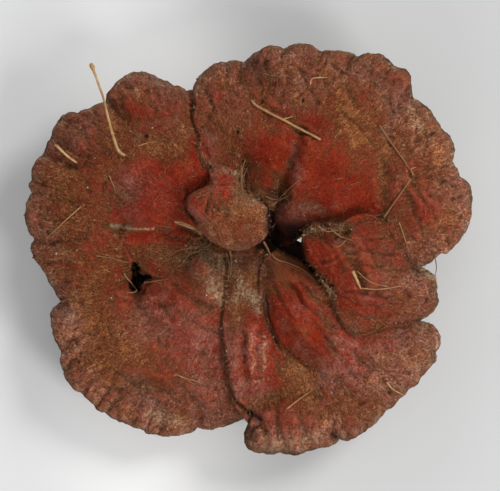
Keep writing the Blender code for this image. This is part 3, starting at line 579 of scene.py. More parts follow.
def fan_surface(name, seed):
    """Upper and lower skins of a cap, as arrays [row, column, xyz] in mm, and its skin's facts."""
    first, hub, second, margin_points, columns, rows = FANS[name]
    margin, even, notches = scalloped(margin_points, columns)
    length = even[-1]
    s, t = even / length, np.linspace(0, 1, rows + 1)
    begin, end, depth = HUB_TUCK.get(name, NO_TUCK)
    under_young = rises(s, begin, begin + 0.12) * rises(-s, -end, -end + 0.12)
    near = tucked(smooth_line(hub, s), depth * under_young, True)
    side_a, side_b = smooth_line(first, t), smooth_line(second, t)
    flush_a, flush_b = np.clip(side_a[:, 3], 0, 1), np.clip(side_b[:, 3], 0, 1)
    tuck_a, tuck_b = TUCK + FLUSH_TUCK * flush_a, TUCK + FLUSH_TUCK * flush_b
    join_a, join_b = side_a[:, 4], side_b[:, 4]
    side_a, side_b = tucked(side_a[:, :3], tuck_a, False), tucked(side_b[:, :3], tuck_b, True)
    side_a[0], side_b[0], side_a[-1], side_b[-1] = near[0], near[-1], margin[0], margin[-1]
    plan = coons(near, margin, side_a, side_b, s, t)
    x, y, rim = plan[..., 0], plan[..., 1], plan[..., 2] - LIP
    to_margin = line_distance(margin[::3], x, y)[0]
    to_hub, at_hub = line_distance(near[::6], x, y)
    to_a, at_a = line_distance(side_a[::3], x, y)
    to_b, at_b = line_distance(side_b[::3], x, y)
    edge_a, edge_b = np.interp(at_a, t, flush_a), np.interp(at_b, t, flush_b)
    edge_hub = np.interp(at_hub, s, under_young)
    # A flush side counts as farther off for the rounding, which is what keeps its skin flat.
    free_a, free_b = SEAM_SHARP * to_a + EDGE_ROUND * edge_a, SEAM_SHARP * to_b + EDGE_ROUND * edge_b
    free = np.minimum(np.minimum(to_margin, to_hub + 2 * EDGE_ROUND * edge_hub), np.minimum(free_a, free_b))
    d = np.minimum(np.minimum(to_margin, to_hub), np.minimum(to_a, to_b))
    swell = PLUMP * (1 - bell(d, PLUMP_REACH))
    fade = rises(t[:, None], 1 - FURROW_LENGTH, 1)
    for place in notches:
        swell = swell - FURROW_DEPTH * bell(s[None] * length - place, FURROW_WIDTH) * fade
    body = skin_height(x, y, swell, to_margin, np.minimum(to_a, to_b), s[None] * length, seed)
    pit = pit_share(x, y)
    upper = rim + rounding(free) * np.maximum(body, LEAST_BODY) - PIT_DEPTH * pit
    pores = 0.5 * layered(x, y, 12.0, 2, 15) * rises(np.hypot(x, y), ROOT_REACH, ROOT_REACH + 20)
    lower = rim - rounding(d) * (rim - underside(x, y, rim) + pores)
    lower = np.minimum(lower, upper - THINNEST)
    # Dust, and a painted shade line, lie along the real seam, which is where the tucked side was drawn from,
    # but not where caps fused.
    gap_a = np.abs(to_a - np.interp(at_a, t, tuck_a)) + FAR_OFF * rises(np.interp(at_a, t, join_a), 0.6, 1)
    gap_b = np.abs(to_b - np.interp(at_b, t, tuck_b)) + FAR_OFF * rises(np.interp(at_b, t, join_b), 0.6, 1)
    crack = np.minimum(np.minimum(gap_a, gap_b), to_hub + HUB_FAR_OFF * edge_hub)
    upper, lower = np.dstack([x, y, upper]), np.dstack([x, y, lower])
    if name in HUB_SKIRT:
        skirted(name, s, t, upper, lower)
    return upper, lower, {"edge": to_margin, "crack": crack, "pit": pit}


# %% [markdown]
# ## Two skins, one body
#
# The upper skin needs fine cells and the underside doesn't, so the underside keeps every third row and
# column. Along the rim each of its cells meets three cells of the upper skin in one six-sided face, which
# leaves the body closed.

# %% Mesh of a fan
COARSE = 3          # fine cells to one coarse cell
RIM_HALF = 0.35     # half the height of the rim's faces, in mm


def placed(name, data, at=(0.0, 0.0, 0.0)):
    """An object in the scene that shows a mesh, a light or a camera."""
    obj = bpy.data.objects.new(name, data)
    obj.location = at
    bpy.context.scene.collection.objects.link(obj)
    return obj


def finished_mesh(name, points, faces, facts, finish):
    """Puts arrays into a mesh object at the origin: points in mm, faces as lists, facts as attributes."""
    mesh = bpy.data.meshes.new(name)
    mesh.from_pydata((points * MM).tolist(), [], faces)
    mesh.update()
    mesh.shade_smooth()
    for fact, values in facts.items():
        mesh.attributes.new(fact, "FLOAT", "POINT").data.foreach_set("value", values.astype(np.float32))
    mesh.materials.append(finish)
    return placed(name, mesh)


def blurred(z, reach):
    """A grid averaged over a square of 2 * reach + 1 cells, by running sums along each axis."""
    for axis in (0, 1):
        pad = [(reach + 1, reach) if k == axis else (0, 0) for k in (0, 1)]
        sums = np.cumsum(np.pad(z, pad, mode="edge"), axis=axis)
        size = z.shape[axis]
        far = np.take(sums, np.arange(size) + 2 * reach + 1, axis=axis)
        z = (far - np.take(sums, np.arange(size), axis=axis)) / (2 * reach + 1)
    return z


def fan_faces(rows, columns):
    """Faces of the upper grid, the coarser lower grid and the six-sided faces that join their rims."""
    top = np.arange((rows + 1) * (columns + 1)).reshape(rows + 1, columns + 1)
    low = np.arange((rows // COARSE + 1) * (columns // COARSE + 1)).reshape(rows // COARSE + 1, -1) + top.size
    quads = np.stack([top[:-1, :-1], top[1:, :-1], top[1:, 1:], top[:-1, 1:]], -1).reshape(-1, 4)
    under = np.stack([low[:-1, :-1], low[:-1, 1:], low[1:, 1:], low[1:, :-1]], -1).reshape(-1, 4)

    def joined(upper, lower, outward):
        """Six-sided faces between a fine rim and a coarse one."""
        four = np.stack([upper[k: len(upper) - COARSE + k: COARSE] for k in range(COARSE + 1)], -1)
        face = np.concatenate([four[:, ::-1], lower[:-1, None], lower[1:, None]], -1)
        return face if outward else face[:, ::-1]

    rim = np.concatenate([
        joined(top[-1], low[-1], True), joined(top[0], low[0], False),
        joined(top[:, 0], low[:, 0], True), joined(top[:, -1], low[:, -1], False),
    ])
    return quads.tolist() + under.tolist() + rim.tolist()


print("a fan of 6 by 6 cells has", len(fan_faces(6, 6)), "faces")

# %% [markdown]
# ## Marks on the skin
#
# The skin is a red lacquer that the fungus grows itself, under brown dust of spores and soil. Dust lies
# on the flat outer zones and in hollows. The crowns, and the ribs that get rubbed, stay bare and red.
# Cream bloom sits in a few places. Some strokes are painted light and shade instead: shade in creases,
# cracks and the hollow, highlights on ribs and on one slope, and light on lit margins. Each kind could
# be painted on a picture and wrapped round, but a list of strokes, placed in the photograph's pixels,
# stays sharp at any size and can be read and changed. A stroke with a negative strength takes away what
# noise put in a wrong place.

# %% Strokes on the skin: line in pixels, half width in mm, strength
# Where the lacquer is rubbed bare.
BARE = [
    ((378, 150), (384, 205), 8, 0.5), ((396, 150), (400, 200), 8, 0.2), ((246, 315), (246, 395), 6, 0.3),
    ((322, 285), (330, 345), 6, 0.35), ((240, 168), (247, 180), 5, 0.4), ((268, 180), (272, 192), 4, 0.4),
    ((322, 178), (345, 205), 16, 0.85), ((268, 155), (292, 150), 11, 0.9), ((150, 185), (185, 200), 17, 0.62),
    ((200, 143), (203, 155), 6, 1), ((130, 218), (180, 214), 9, 0.5),
    ((165, 305), (190, 335), (215, 375), 19, 0.45), ((120, 150), (150, 165), 9, 0.3),
    ((90, 165), (105, 190), 9, 0.3), ((135, 112), (200, 128), 8, 0.3), ((135, 236), (180, 240), 6, 0.5),
    ((199, 158), (206, 170), 6, 0.9), ((405, 165), (420, 205), 9, 0.3), ((345, 150), (385, 190), 10, 0.3),
    ((130, 300), (150, 310), 10, 0.35), ((240, 338), (242, 378), 8, 0.55),
    ((262, 318), (266, 345), (268, 378), 8, 0.85), ((274, 300), (285, 330), (300, 350), 7, 0.75),
    ((300, 300), (318, 335), (350, 360), 8, 0.6), ((285, 114), (330, 124), 11, 0.4),
    ((108, 215), (150, 205), 9, 0.35), ((225, 182), (230, 200), 7, 0.6), ((222, 236), (250, 238), 7, 0.5),
    ((180, 175), (190, 185), 8, 0.5), ((216, 226), (240, 222), 8, 0.3),
    ((312, 238), (330, 262), (350, 290), 12, 0.7), ((350, 300), (385, 308), 9, 0.5),
    ((360, 235), (400, 262), 8, 0.5), ((440, 190), (452, 225), 12, 0.35), ((285, 215), (300, 222), 9, 0.7),
    ((276, 345), (281, 358), 5, 0.6), ((296, 286), (318, 310), (338, 332), 8, 0.5),
    ((190, 205), (200, 212), 6, 0.8), ((225, 190), (228, 180), 5, 0.5), ((270, 420), (300, 432), 12, 0.3),
    ((350, 345), (390, 340), 7, 0.45), ((160, 110), (178, 115), 9, 0.35), ((212, 85), (216, 100), 7, 0.35),
]
# Where more dust and soil lie than elsewhere.
DUSTY = [
    ((288, 362), (310, 388), 9, 0.55), ((80, 330), (120, 345), 22, 0.5), ((385, 140), (400, 180), 16, 0.2),
    ((236, 306), (238, 330), 5, 0.4), ((268, 268), (295, 280), (325, 292), 7, 0.3),
    ((350, 135), (375, 165), (385, 195), 8, 0.35), ((243, 262), (250, 300), 7, 0.4),
    ((226, 240), (246, 212), 12, 0.3), ((120, 150), (180, 130), 12, 0.2),
    ((328, 55), (335, 85), (350, 115), 6, 0.4), ((288, 60), (298, 90), (300, 105), 5, 0.3),
    ((350, 115), (375, 135), (398, 165), 7, 0.35), ((305, 232), (330, 225), (350, 228), 5, 0.8),
    ((255, 198), (275, 200), 6, 0.5), ((120, 255), (180, 250), 9, 0.12), ((240, 262), (262, 270), 9, 0.8),
    ((318, 300), (335, 345), 5, 0.6), ((60, 180), (100, 210), 20, 0.2),
    ((405, 110), (445, 165), (452, 235), 10, 0.3), ((380, 370), (415, 370), 10, 0.3),
    ((255, 188), (268, 200), 5, 0.4), ((330, 120), (350, 140), 8, 0.3),
]
# Cream bloom of spores and mould, scratches that show the pale flesh, and painted highlights on ribs and on
# the slope above the hollow.
PALE = [
    ((114, 225), (130, 228), 1.9, 1.4), ((130, 228), (142, 229.5), (155, 229), 1.3, 1.05),
    ((138, 91), (139, 92), 2.2, 0.9), ((73, 252), (78, 256), 4, 0.6), ((72, 293), (74, 297), 2.5, 0.6),
    ((150, 412), (178, 420), 5.5, 0.6), ((408, 112), (415, 125), 5, 0.6), ((424, 268), (431, 276), 4, 0.8),
    # The two strokes on this line are painted highlights along the ribs of the lower middle cap.
    ((264, 334), (265, 366), 1.9, 0.8), ((253, 336), (253, 376), 1.5, 0.55),
    ((205, 256), (222, 262), 7, 0.35), ((345, 69), (350, 73), 3, 0.7), ((336, 58), (338, 62), 2.5, 0.5),
    ((240, 278), (238, 298), 3.6, 0.75), ((250, 293), (262, 297), 4.6, 0.95),
    ((254, 300), (258, 311), 3.2, 0.75), ((246, 284), (262, 284), 4, 0.4), ((203, 275), (222, 300), 8, 0.55),
    ((235, 386), (268, 377), 2, 0.6), ((405, 347), (412, 344), 4, 0.6),
    ((360, 363), (372, 360), (400, 352), 2.5, 0.45), ((436, 334), (438, 346), 2, 0.8),
    ((402, 283), (406, 282), 2.5, 0.9), ((28, 196), (30, 205), 2, 0.7), ((36, 170), (37, 176), 2, 0.6),
    ((52, 215), (62, 232), 5, 0.4), ((120, 78), (150, 73), 4, 0.35),
    ((178, 221), (190, 225), (202, 233), 1.4, 1.3), ((244, 178), (252, 182), 3, 0.5),
    ((420, 128), (428, 140), 4, 0.45), ((250, 436), (262, 445), 3, 0.5), ((64, 305), (72, 340), 4, 0.12),
    ((262, 240), (268, 224), 1.2, 0.7), ((226, 171), (236, 174), 2.6, 0.8),
    ((260, 440), (290, 445), (325, 432), 6, 0.4), ((385, 395), (412, 375), (430, 355), 5, 0.35),
    # The first stroke here is a painted highlight on the slope above the hollow.
    ((298, 206), (316, 208), 2.4, 0.5), ((268, 436), (292, 444), (318, 436), 9, 0.42),
    ((418, 110), (445, 160), (462, 205), 8, 0.26), ((85, 375), (130, 410), (200, 428), 8, 0.3),
    ((425, 320), (432, 350), 7, 0.3), ((204, 254), (218, 262), (219, 292), 8, 0.55),
    ((226, 262), (262, 274), 7, 0.2), ((420, 268), (437, 280), 5, 0.35),
]
# Painted shade in pinholes, creases, the pit and over the dark hollow by the young cap, and some dark dirt.
DARK = [
    ((149, 136), (149, 138), 0.8, 0.9), ((239, 133), (239, 135), 0.8, 0.9),
    ((303, 101), (303, 103), 0.8, 0.8), ((206, 244), (199, 251), (191, 258), 1.3, 0.8),
    ((256, 250), (262, 242), 2, 0.6), ((355, 228), (368, 236), 6, 0.22), ((338, 360), (350, 368), 7, 0.14),
    ((405, 100), (414, 108), 4, 0.15), ((314, 240), (330, 262), (346, 285), 11, 0.18),
    ((150, 195), (185, 200), 14, 0.14), ((335, 190), (350, 200), 10, 0.08), ((256, 64), (268, 80), 7, 0.2),
    ((284, 304), (294, 332), 7, 0.14), ((288, 112), (312, 118), 9, 0.1),
    ((60, 150), (48, 190), (56, 230), 9, 0.06), ((136, 264), (137, 272), (135, 288), 2, 1),
    ((140, 277), (150, 276), 1.3, 0.9), ((250, 412), (262, 418), 2.5, 0.9),
    ((250, 432), (262, 424), 1.2, 0.8), ((378, 214), (384, 220), 2.4, 0.8),
    ((404, 290), (408, 293), 1.8, 0.7), ((374, 291), (376, 293), 1.4, 0.7),
    ((148, 136), (149, 137), 0.8, 0.9), ((239, 133), (239, 135), 1, 0.9), ((303, 101), (303, 103), 0.9, 0.8),
    ((78, 342), (78, 344), 0.8, 0.9), ((81, 361), (81, 363), 0.8, 0.9), ((68, 364), (68, 366), 0.7, 0.9),
    ((110, 400), (110, 402), 0.8, 0.9), ((333, 432), (336, 435), 1.4, 0.9), ((268, 190), (285, 198), 4, 0.3),
    ((271, 214), (272, 230), (276, 244), 3.6, 1), ((276, 240), (288, 238), (296, 233), 3, 0.5),
    ((279, 228), (298, 230), 7, 0.7), ((284, 184), (272, 200), 6, 0.25), ((284, 210), (292, 222), 8, 0.36),
    ((308, 230), (345, 230), 4, 0.22), ((255, 196), (265, 202), (271, 213), 1.3, 0.8),
    ((246, 172), (247, 192), 1.7, 0.7), ((254, 190), (266, 197), 4.5, 0.35),
    ((205, 146), (211, 160), (213, 172), 1.2, 0.6),
    ((211, 183), (199, 189), (188, 197), (187, 208), (194, 218), 1.1, 0.6), ((244, 258), (262, 266), 8, 0.42),
    ((255, 66), (270, 84), 9, 0.3), ((70, 125), (55, 150), 9, 0.15),
    ((300, 244), (304, 258), (312, 270), 2, 0.8), ((322, 224), (330, 230), 2.2, 0.5),
    ((318, 281), (330, 286), (336, 292), 1.6, 0.7), ((266, 296), (268, 318), (279, 343), 1.5, 0.5),
]
# A dull, milky violet over the lacquer, and painted pink highlights along the ribs of the lower middle and
# lower right caps.
VIOLET = [
    ((316, 300), (340, 318), 7, 0.3), ((425, 335), (436, 350), 5, 0.3), ((392, 128), (398, 205), 9, 0.3),
    ((200, 252), (216, 262), (222, 285), 8.5, 0.25), ((240, 262), (258, 262), 6, 0.5),
    ((64, 315), (78, 365), (105, 395), (150, 415), 10, 0.5), ((348, 240), (395, 262), 10, 0.3),
    ((232, 256), (262, 270), 7, 0.5), ((270, 60), (290, 90), 12, 0.7), ((230, 70), (240, 95), 9, 0.4),
    ((90, 125), (75, 150), 12, 0.5), ((130, 75), (170, 85), 7, 0.7), ((400, 110), (420, 150), 9, 0.5),
    ((460, 180), (466, 220), 6, 0.5), ((60, 310), (75, 330), 9, 0.6), ((130, 385), (150, 410), 8, 0.6),
    ((340, 370), (400, 385), 12, 0.6), ((285, 215), (300, 225), 9, 0.35), ((130, 175), (140, 190), 9, 0.5),
    ((395, 330), (430, 335), 8, 0.5), ((270, 440), (290, 448), 6, 0.5), ((40, 215), (50, 240), 9, 0.3),
    ((195, 300), (215, 320), 8, 0.15), ((150, 315), (205, 340), (212, 392), 19, 1),
    ((150, 180), (172, 205), 15, 0.12), ((245, 330), (256, 350), (258, 372), 9, 0.5),
    ((165, 400), (215, 410), 10, 0.6), ((240, 340), (262, 345), 12, 0.25),
    ((262, 425), (290, 440), (330, 425), 12, 0.8), ((345, 352), (400, 350), (430, 345), 10, 0.6),
    ((330, 385), (390, 365), 14, 0.5), ((370, 290), (425, 290), 12, 0.55), ((400, 240), (430, 245), 12, 0.4),
    ((430, 190), (462, 200), 12, 0.5), ((296, 150), (298, 180), 4, 0.8), ((360, 78), (395, 100), 12, 0.6),
    ((302, 64), (316, 90), 8, 0.5), ((215, 100), (240, 120), 10, 0.4), ((160, 100), (178, 130), 9, 0.4),
    ((120, 190), (135, 215), 9, 0.4), ((240, 385), (262, 395), 9, 0.6), ((320, 360), (335, 385), 6, 0.5),
    # Painted pink highlights along the ribs: the three strokes on this line and the one at (299, 342) on the
    # next.
    ((252, 344), (252, 368), 1.8, 0.9), ((263, 342), (263, 357), 3, 0.9), ((235, 342), (236, 362), 3, 0.7),
    ((283, 318), (286, 328), 2.5, 0.6), ((299, 342), (306, 354), 3.5, 0.8), ((266, 296), (268, 308), 3, 0.7),
    ((330, 330), (345, 345), 5, 0.6), ((212, 140), (216, 160), 6, 0.6), ((272, 205), (300, 215), 9, 0.5),
]
# Ash-grey weathering, and painted grey highlights on the slope above the hollow and on a lobe of the upper
# right cap.
ASH_AND_SHEEN = [
    ((350, 138), (376, 146), 8, -1.3), ((62, 306), (74, 322), 4.5, 0.9), ((135, 374), (147, 388), 4.5, 0.8),
    # The stroke at (302, 205) here and the one at (296, 78) below are painted grey highlights.
    ((148, 398), (160, 408), 5, 0.8), ((192, 268), (197, 277), 2.6, 0.6), ((302, 205), (320, 209), 2.6, 0.8),
    ((254, 303), (258, 312), 2.2, 0.8), ((252, 62), (258, 74), 4.5, 0.6), ((296, 78), (304, 88), 3.5, 0.6),
    ((330, 64), (338, 74), 4, 0.5), ((366, 68), (380, 82), 5, 0.5), ((384, 98), (394, 110), 4.5, 0.6),
    ((124, 182), (130, 192), 5, 0.5), ((84, 130), (70, 148), 6, 0.4), ((50, 228), (60, 250), 5, 0.4),
    ((90, 338), (80, 350), 4, 0.4), ((262, 296), (268, 308), 2.4, 0.7), ((290, 445), (275, 438), 5, 0.4),
    ((398, 336), (426, 342), 4.5, 0.5), ((440, 186), (452, 200), 5, 0.4), ((214, 140), (206, 132), 4, 0.6),
    ((196, 212), (200, 222), 3, 0.5), ((282, 204), (276, 216), 4, 0.5), ((412, 372), (396, 384), 5, 0.4),
    ((160, 78), (148, 74), 4, 0.5),
]
# Skin that is lighter than elsewhere, whatever its colour: painted light on the margins and ridges that the
# light falls on, and paler skin.
LIT_AND_PALE = [
    ((436, 140), (452, 175), (466, 215), (440, 245), 11, 0.45),
    ((66, 325), (80, 372), (110, 402), (170, 425), 10, 0.42), ((268, 440), (300, 440), (330, 425), 9, 0.5),
    ((392, 390), (420, 365), (434, 340), 9, 0.25), ((395, 285), (428, 285), 7, 0.35),
    ((205, 275), (222, 290), 8, 0.5), ((300, 170), (310, 150), 7, 0.25), ((255, 335), (262, 365), 6, 0.4),
    ((290, 310), (304, 335), 6, 0.4), ((130, 330), (150, 350), 12, 0.2), ((360, 340), (395, 350), 10, 0.25),
    ((350, 150), (372, 180), 10, 0.2), ((425, 195), (435, 225), 9, 0.25), ((150, 232), (195, 235), 7, 0.2),
    ((60, 120), (140, 90), 9, 0.15), ((60, 255), (90, 265), 9, 0.2),
]


def in_mm(rows):
    """Rows of points in pixels, a width and a strength, as rows of a line on the plan and the other two."""
    return [(on_plan(points), width, strength) for *points, width, strength in rows]


BARE, DUSTY, PALE, DARK, VIOLET, ASH_AND_SHEEN = map(in_mm, (BARE, DUSTY, PALE, DARK, VIOLET, ASH_AND_SHEEN))
LIT_AND_PALE, FOLDS = in_mm(LIT_AND_PALE), in_mm(FOLDS)


# The distance in mm over which a point is compared with its surroundings, in cells, and the depth in mm
# that counts as a full hollow: for wrinkles and for dents.
WRINKLES, DENTS = (3, 0.5), (12, 2.4)
CRACK_DUST, CRACK_SHADE = 1.7, 1.1       # how far dust, and the painted shade of a crack, reach from it, in mm


def sunk(z, cells, depth):
    """How far each point lies below the average round it, from -1 to 1."""
    return np.clip((blurred(z, cells) - z) / depth, -1, 1)


def skin_facts(x, y, z, edge, crack, pit):
    """Attributes of the upper skin, each from 0 to 1: the strokes of each kind, more of it near the margin
    or a crack, broken up by noise of its own. `hollow` is 0.5 where a point is level with those round it."""
    hollow, dent = sunk(z, *WRINKLES), sunk(z, *DENTS)
    dust = 0.50 + 0.25 * bell(edge, 30.0) - 0.62 * strokes(BARE, x, y) + strokes(DUSTY, x, y)
    dust = np.maximum(dust + 0.42 * layered(x, y, 16.0, 4, 20) + 0.22 * hollow + 0.30 * dent, 0.10)
    dust = np.maximum(dust, 0.75 * bell(crack, CRACK_DUST))
    pale = strokes(PALE, x, y) * (0.8 + 1.0 * layered(x, y, 2.6, 3, 30))
    pale = pale + 0.25 * bell(edge, 3.0) * rises(layered(x, y, 14.0, 2, 33), 0.05, 0.4)
    # Painted shade: the dark strokes, a dark line along each crack, and the pit.
    dark = strokes(DARK, x, y) + 0.5 * bell(crack, CRACK_SHADE) + 0.95 * pit
    violet = strokes(VIOLET, x, y) + 0.42 * bell(edge, 16.0) + 0.25 * bell(edge, 8.0)
    violet = violet * (0.9 + 0.9 * layered(x, y, 12.0, 3, 40))
    ash = strokes(ASH_AND_SHEEN, x, y) * (0.8 + 1.2 * layered(x, y, 7.0, 3, 42))
    ash = ash + 0.9 * rises(layered(x, y, 20.0, 3, 46), 0.28, 0.7)
    ash = ash + 0.42 * bell(edge, 8.0) * (0.9 + 0.8 * layered(x, y, 8.0, 3, 47))
    rim = bell(edge, 3.2) * (0.52 + 1.1 * layered(x, y, 9.0, 2, 48))
    # Painted light on lit margins and ridges, and paler skin.
    lit_and_pale = strokes(LIT_AND_PALE, x, y) * (0.9 + 0.9 * layered(x, y, 10.0, 3, 52))
    found = {"dust": dust, "pale": pale, "dark": dark, "violet": violet, "ash": ash, "rim": rim,
             "lit_and_pale": lit_and_pale, "hollow": 0.5 + 0.5 * hollow}
    return {key: np.clip(value, 0, 1) for key, value in found.items()}


print("strokes on the skin:", sum(map(len, (BARE, DUSTY, PALE, DARK, VIOLET, ASH_AND_SHEEN, LIT_AND_PALE))))

# %% [markdown]
# ## Writing shader maths
#
# A material is a graph of nodes, which is tedious to write by hand. One small class wraps a socket, so
# that `mask * 0.5 + dust` adds the Math nodes itself.

# %% Sockets as values


class Socket:
    """A socket of a shader node that takes part in expressions."""

    def __init__(self, board, socket):
        self.board, self.socket = board, socket

    def maths(self, operation, *others):
        links = {k: other for k, other in enumerate((self, *others))}
        return self.board.node("ShaderNodeMath", {"operation": operation}, links)

    def __add__(self, other):
        return self.maths("ADD", other)

    def __mul__(self, other):
        return self.maths("MULTIPLY", other)

    def __sub__(self, other):
        return self.maths("SUBTRACT", other)

    __radd__ = __add__


class Board:
    """The nodes of one material. `node` makes any of them: its type, its settings, then its inputs."""

    def __init__(self, name):
        self.material = bpy.data.materials.new(name)
        self.material.use_nodes = True
        self.nodes = self.material.node_tree.nodes
        self.nodes.clear()

    def node(self, kind, settings, inputs, output=0):
        made = self.nodes.new(kind)
        for key, value in settings.items():
            setattr(made, key, value)
        for key, value in inputs.items():
            if isinstance(value, Socket):
                self.material.node_tree.links.new(value.socket, made.inputs[key])
            elif isinstance(value, tuple) and len(value) == 3 and made.inputs[key].type == "RGBA":
                made.inputs[key].default_value = (*value, 1.0)
            else:
                made.inputs[key].default_value = value
        return Socket(self, made.outputs[output])

    def fact(self, name):
        """An attribute that the mesh carries."""
        return self.node("ShaderNodeAttribute", {"attribute_name": name}, {}, "Fac")

    def raw(self):
        """Object coordinates in metres."""
        return self.node("ShaderNodeTexCoord", {}, {}, "Object")

    def place(self, squeeze=(1.0, 1.0, 1.0)):
        """Object coordinates, stretched along an axis by a squeeze below 1."""
        return self.node("ShaderNodeMapping", {}, {"Vector": self.raw(), "Scale": squeeze})

    def vector(self, operation, *values, output=0):
        """Vector maths. Its answer is output 0, or output 1 where that is one number, such as a length."""
        return self.node("ShaderNodeVectorMath", {"operation": operation}, dict(enumerate(values)), output)

    def grown(self, reach, squeeze):
        """Coordinates that follow the growth from the stem to the rim: noise comes out as long fibres."""
        flat = self.vector("MULTIPLY", self.raw(), (1.0, 1.0, 0.0))
        length = self.vector("LENGTH", flat, output=1)
        ring = self.vector("MULTIPLY", self.vector("NORMALIZE", flat), (reach, reach, 0.0))
        out = self.node("ShaderNodeCombineXYZ", {}, {2: length * squeeze})
        return self.vector("ADD", ring, out)

    def noise(self, size, detail=4.0, rough=0.55, place=None, warp=0.0):
        """Blender's noise with features of a size in mm, from 0 to 1."""
        links = {"Vector": place or self.place(), "Scale": 1.0 / (size * MM), "Detail": detail,
                 "Roughness": rough, "Distortion": warp}
        return self.node("ShaderNodeTexNoise", {}, links, 0)

    def between(self, value, low, high):
        """0 below `low` and 1 above `high`, with a smooth step between."""
        settings = {"interpolation_type": "SMOOTHSTEP"}
        return self.node("ShaderNodeMapRange", settings, {"Value": value, "From Min": low, "From Max": high})

    def mix(self, factor, a, b, blend="MIX"):
        """Colours mixed by a factor."""
        settings = {"data_type": "RGBA", "blend_type": blend, "clamp_factor": True}
        made = self.node("ShaderNodeMix", settings, {0: factor})
        node = made.socket.node
        for index, value in ((6, a), (7, b)):
            if isinstance(value, Socket):
                self.material.node_tree.links.new(value.socket, node.inputs[index])
            else:
                node.inputs[index].default_value = (*value, 1.0)
        return Socket(self, node.outputs[2])

    def finish(self, colour, roughness, bumps, settings):
        """Joins a Principled shader: colour, roughness and a chain of bumps (height, mm, strength)."""
        normal = None
        for height, depth, strength in bumps:
            links = {"Height": height, "Distance": depth * MM, "Strength": strength}
            if normal:
                links["Normal"] = normal
            normal = self.node("ShaderNodeBump", {}, links)
        inputs = {"Base Color": colour, "Roughness": roughness, **settings}
        if normal:
            inputs["Normal"] = normal
        shader = self.node("ShaderNodeBsdfPrincipled", {}, inputs)
        out = self.nodes.new("ShaderNodeOutputMaterial")
        self.material.node_tree.links.new(shader.socket, out.inputs["Surface"])
        return self.material


# %% [markdown]
# ## The lacquered skin
#
# Bare lacquer runs from dark oxblood to bright orange-red. Dust hides it in a grainy way: the mesh says
# how much lies here, and fine noise decides grain by grain, so the border between dust and lacquer is
# never a line. Painted shade darkens the wrinkles. Then come thin layers, each over the last: fibres,
# violet with painted pink highlights, ash with painted grey highlights, the rusty rim, painted light on
# lit margins and ridges, specks, painted shade along creases, bloom and mould with painted highlights,
# painted shade in hollows, a painted highlight on raised points, and painted shade with some dark dirt.
# Dust is rough and lacquer has a dull gloss.

# %% Cap finish

# Colours of the skin as linear light. Where there are two, noise runs from the first to the second.
LACQUER = ((0.124, 0.0068, 0.0018), (0.182, 0.0105, 0.0026))
LACQUER_BRIGHT, LACQUER_DEEP, LACQUER_WORN = (0.27, 0.034, 0.007), (0.076, 0.008, 0.004), (0.31, 0.080, 0.027)
WINE = ((0.160, 0.027, 0.0115), (0.215, 0.041, 0.020))
WINE_DEEP, WRINKLE_SHADE_RED = (0.072, 0.013, 0.007), (0.085, 0.011, 0.006)
OCHRE = ((0.166, 0.056, 0.0170), (0.224, 0.086, 0.0285))
OCHRE_DEEP, OCHRE_BRIGHT, WRINKLE_SHADE_OCHRE = (0.064, 0.019, 0.008), (0.36, 0.175, 0.062), (0.075, 0.024, 0.011)
FIBRE_PALE, FIBRE_DARK = (0.37, 0.165, 0.078), (0.050, 0.014, 0.007)
MILKY_VIOLET = ((0.158, 0.062, 0.046), (0.330, 0.136, 0.103))
ASH_AND_SHEEN_GREY = ((0.105, 0.060, 0.048), (0.245, 0.156, 0.126))
RIM_RUST = ((0.070, 0.045, 0.028), (0.190, 0.150, 0.098))
# Cream bloom and mould, which also carry painted highlights.
BLOOM_AND_HIGHLIGHT, MOULD_AND_HIGHLIGHT = (0.46, 0.32, 0.185), (0.52, 0.41, 0.28)
# Painted shade for hollows, a painted highlight for raised points, and the near black of painted shade with
# some dark dirt.
HOLLOW_SHADE, RAISED_HIGHLIGHT, SHADE_AND_DIRT = (0.055, 0.021, 0.012), (0.31, 0.100, 0.044), (0.010, 0.006, 0.005)
FLESH = ((0.30, 0.18, 0.095), (0.42, 0.27, 0.15))
PORE, PORE_SIZE, FLESH_STAIN = (0.14, 0.075, 0.04), 0.9, (0.17, 0.075, 0.04)
# These multiply what is there: painted light on lit margins and ridges, pale and dark specks, and painted
# shade along creases.
LIGHTENING, PALE_SPECK = (1.75, 1.80, 1.75), (1.90, 1.86, 1.74)
DARK_SPECK, CREASE_SHADE = (0.54, 0.50, 0.50), (0.50, 0.42, 0.42)


def vein(board, size, detail, warp, half_width):
    """Warped noise, and the thin winding lines along which it passes through its middle value."""
    swirl = board.noise(size, detail, 0.6, warp=warp)
    return swirl, board.between((swirl - 0.5).maths("ABSOLUTE"), half_width, 0.0)


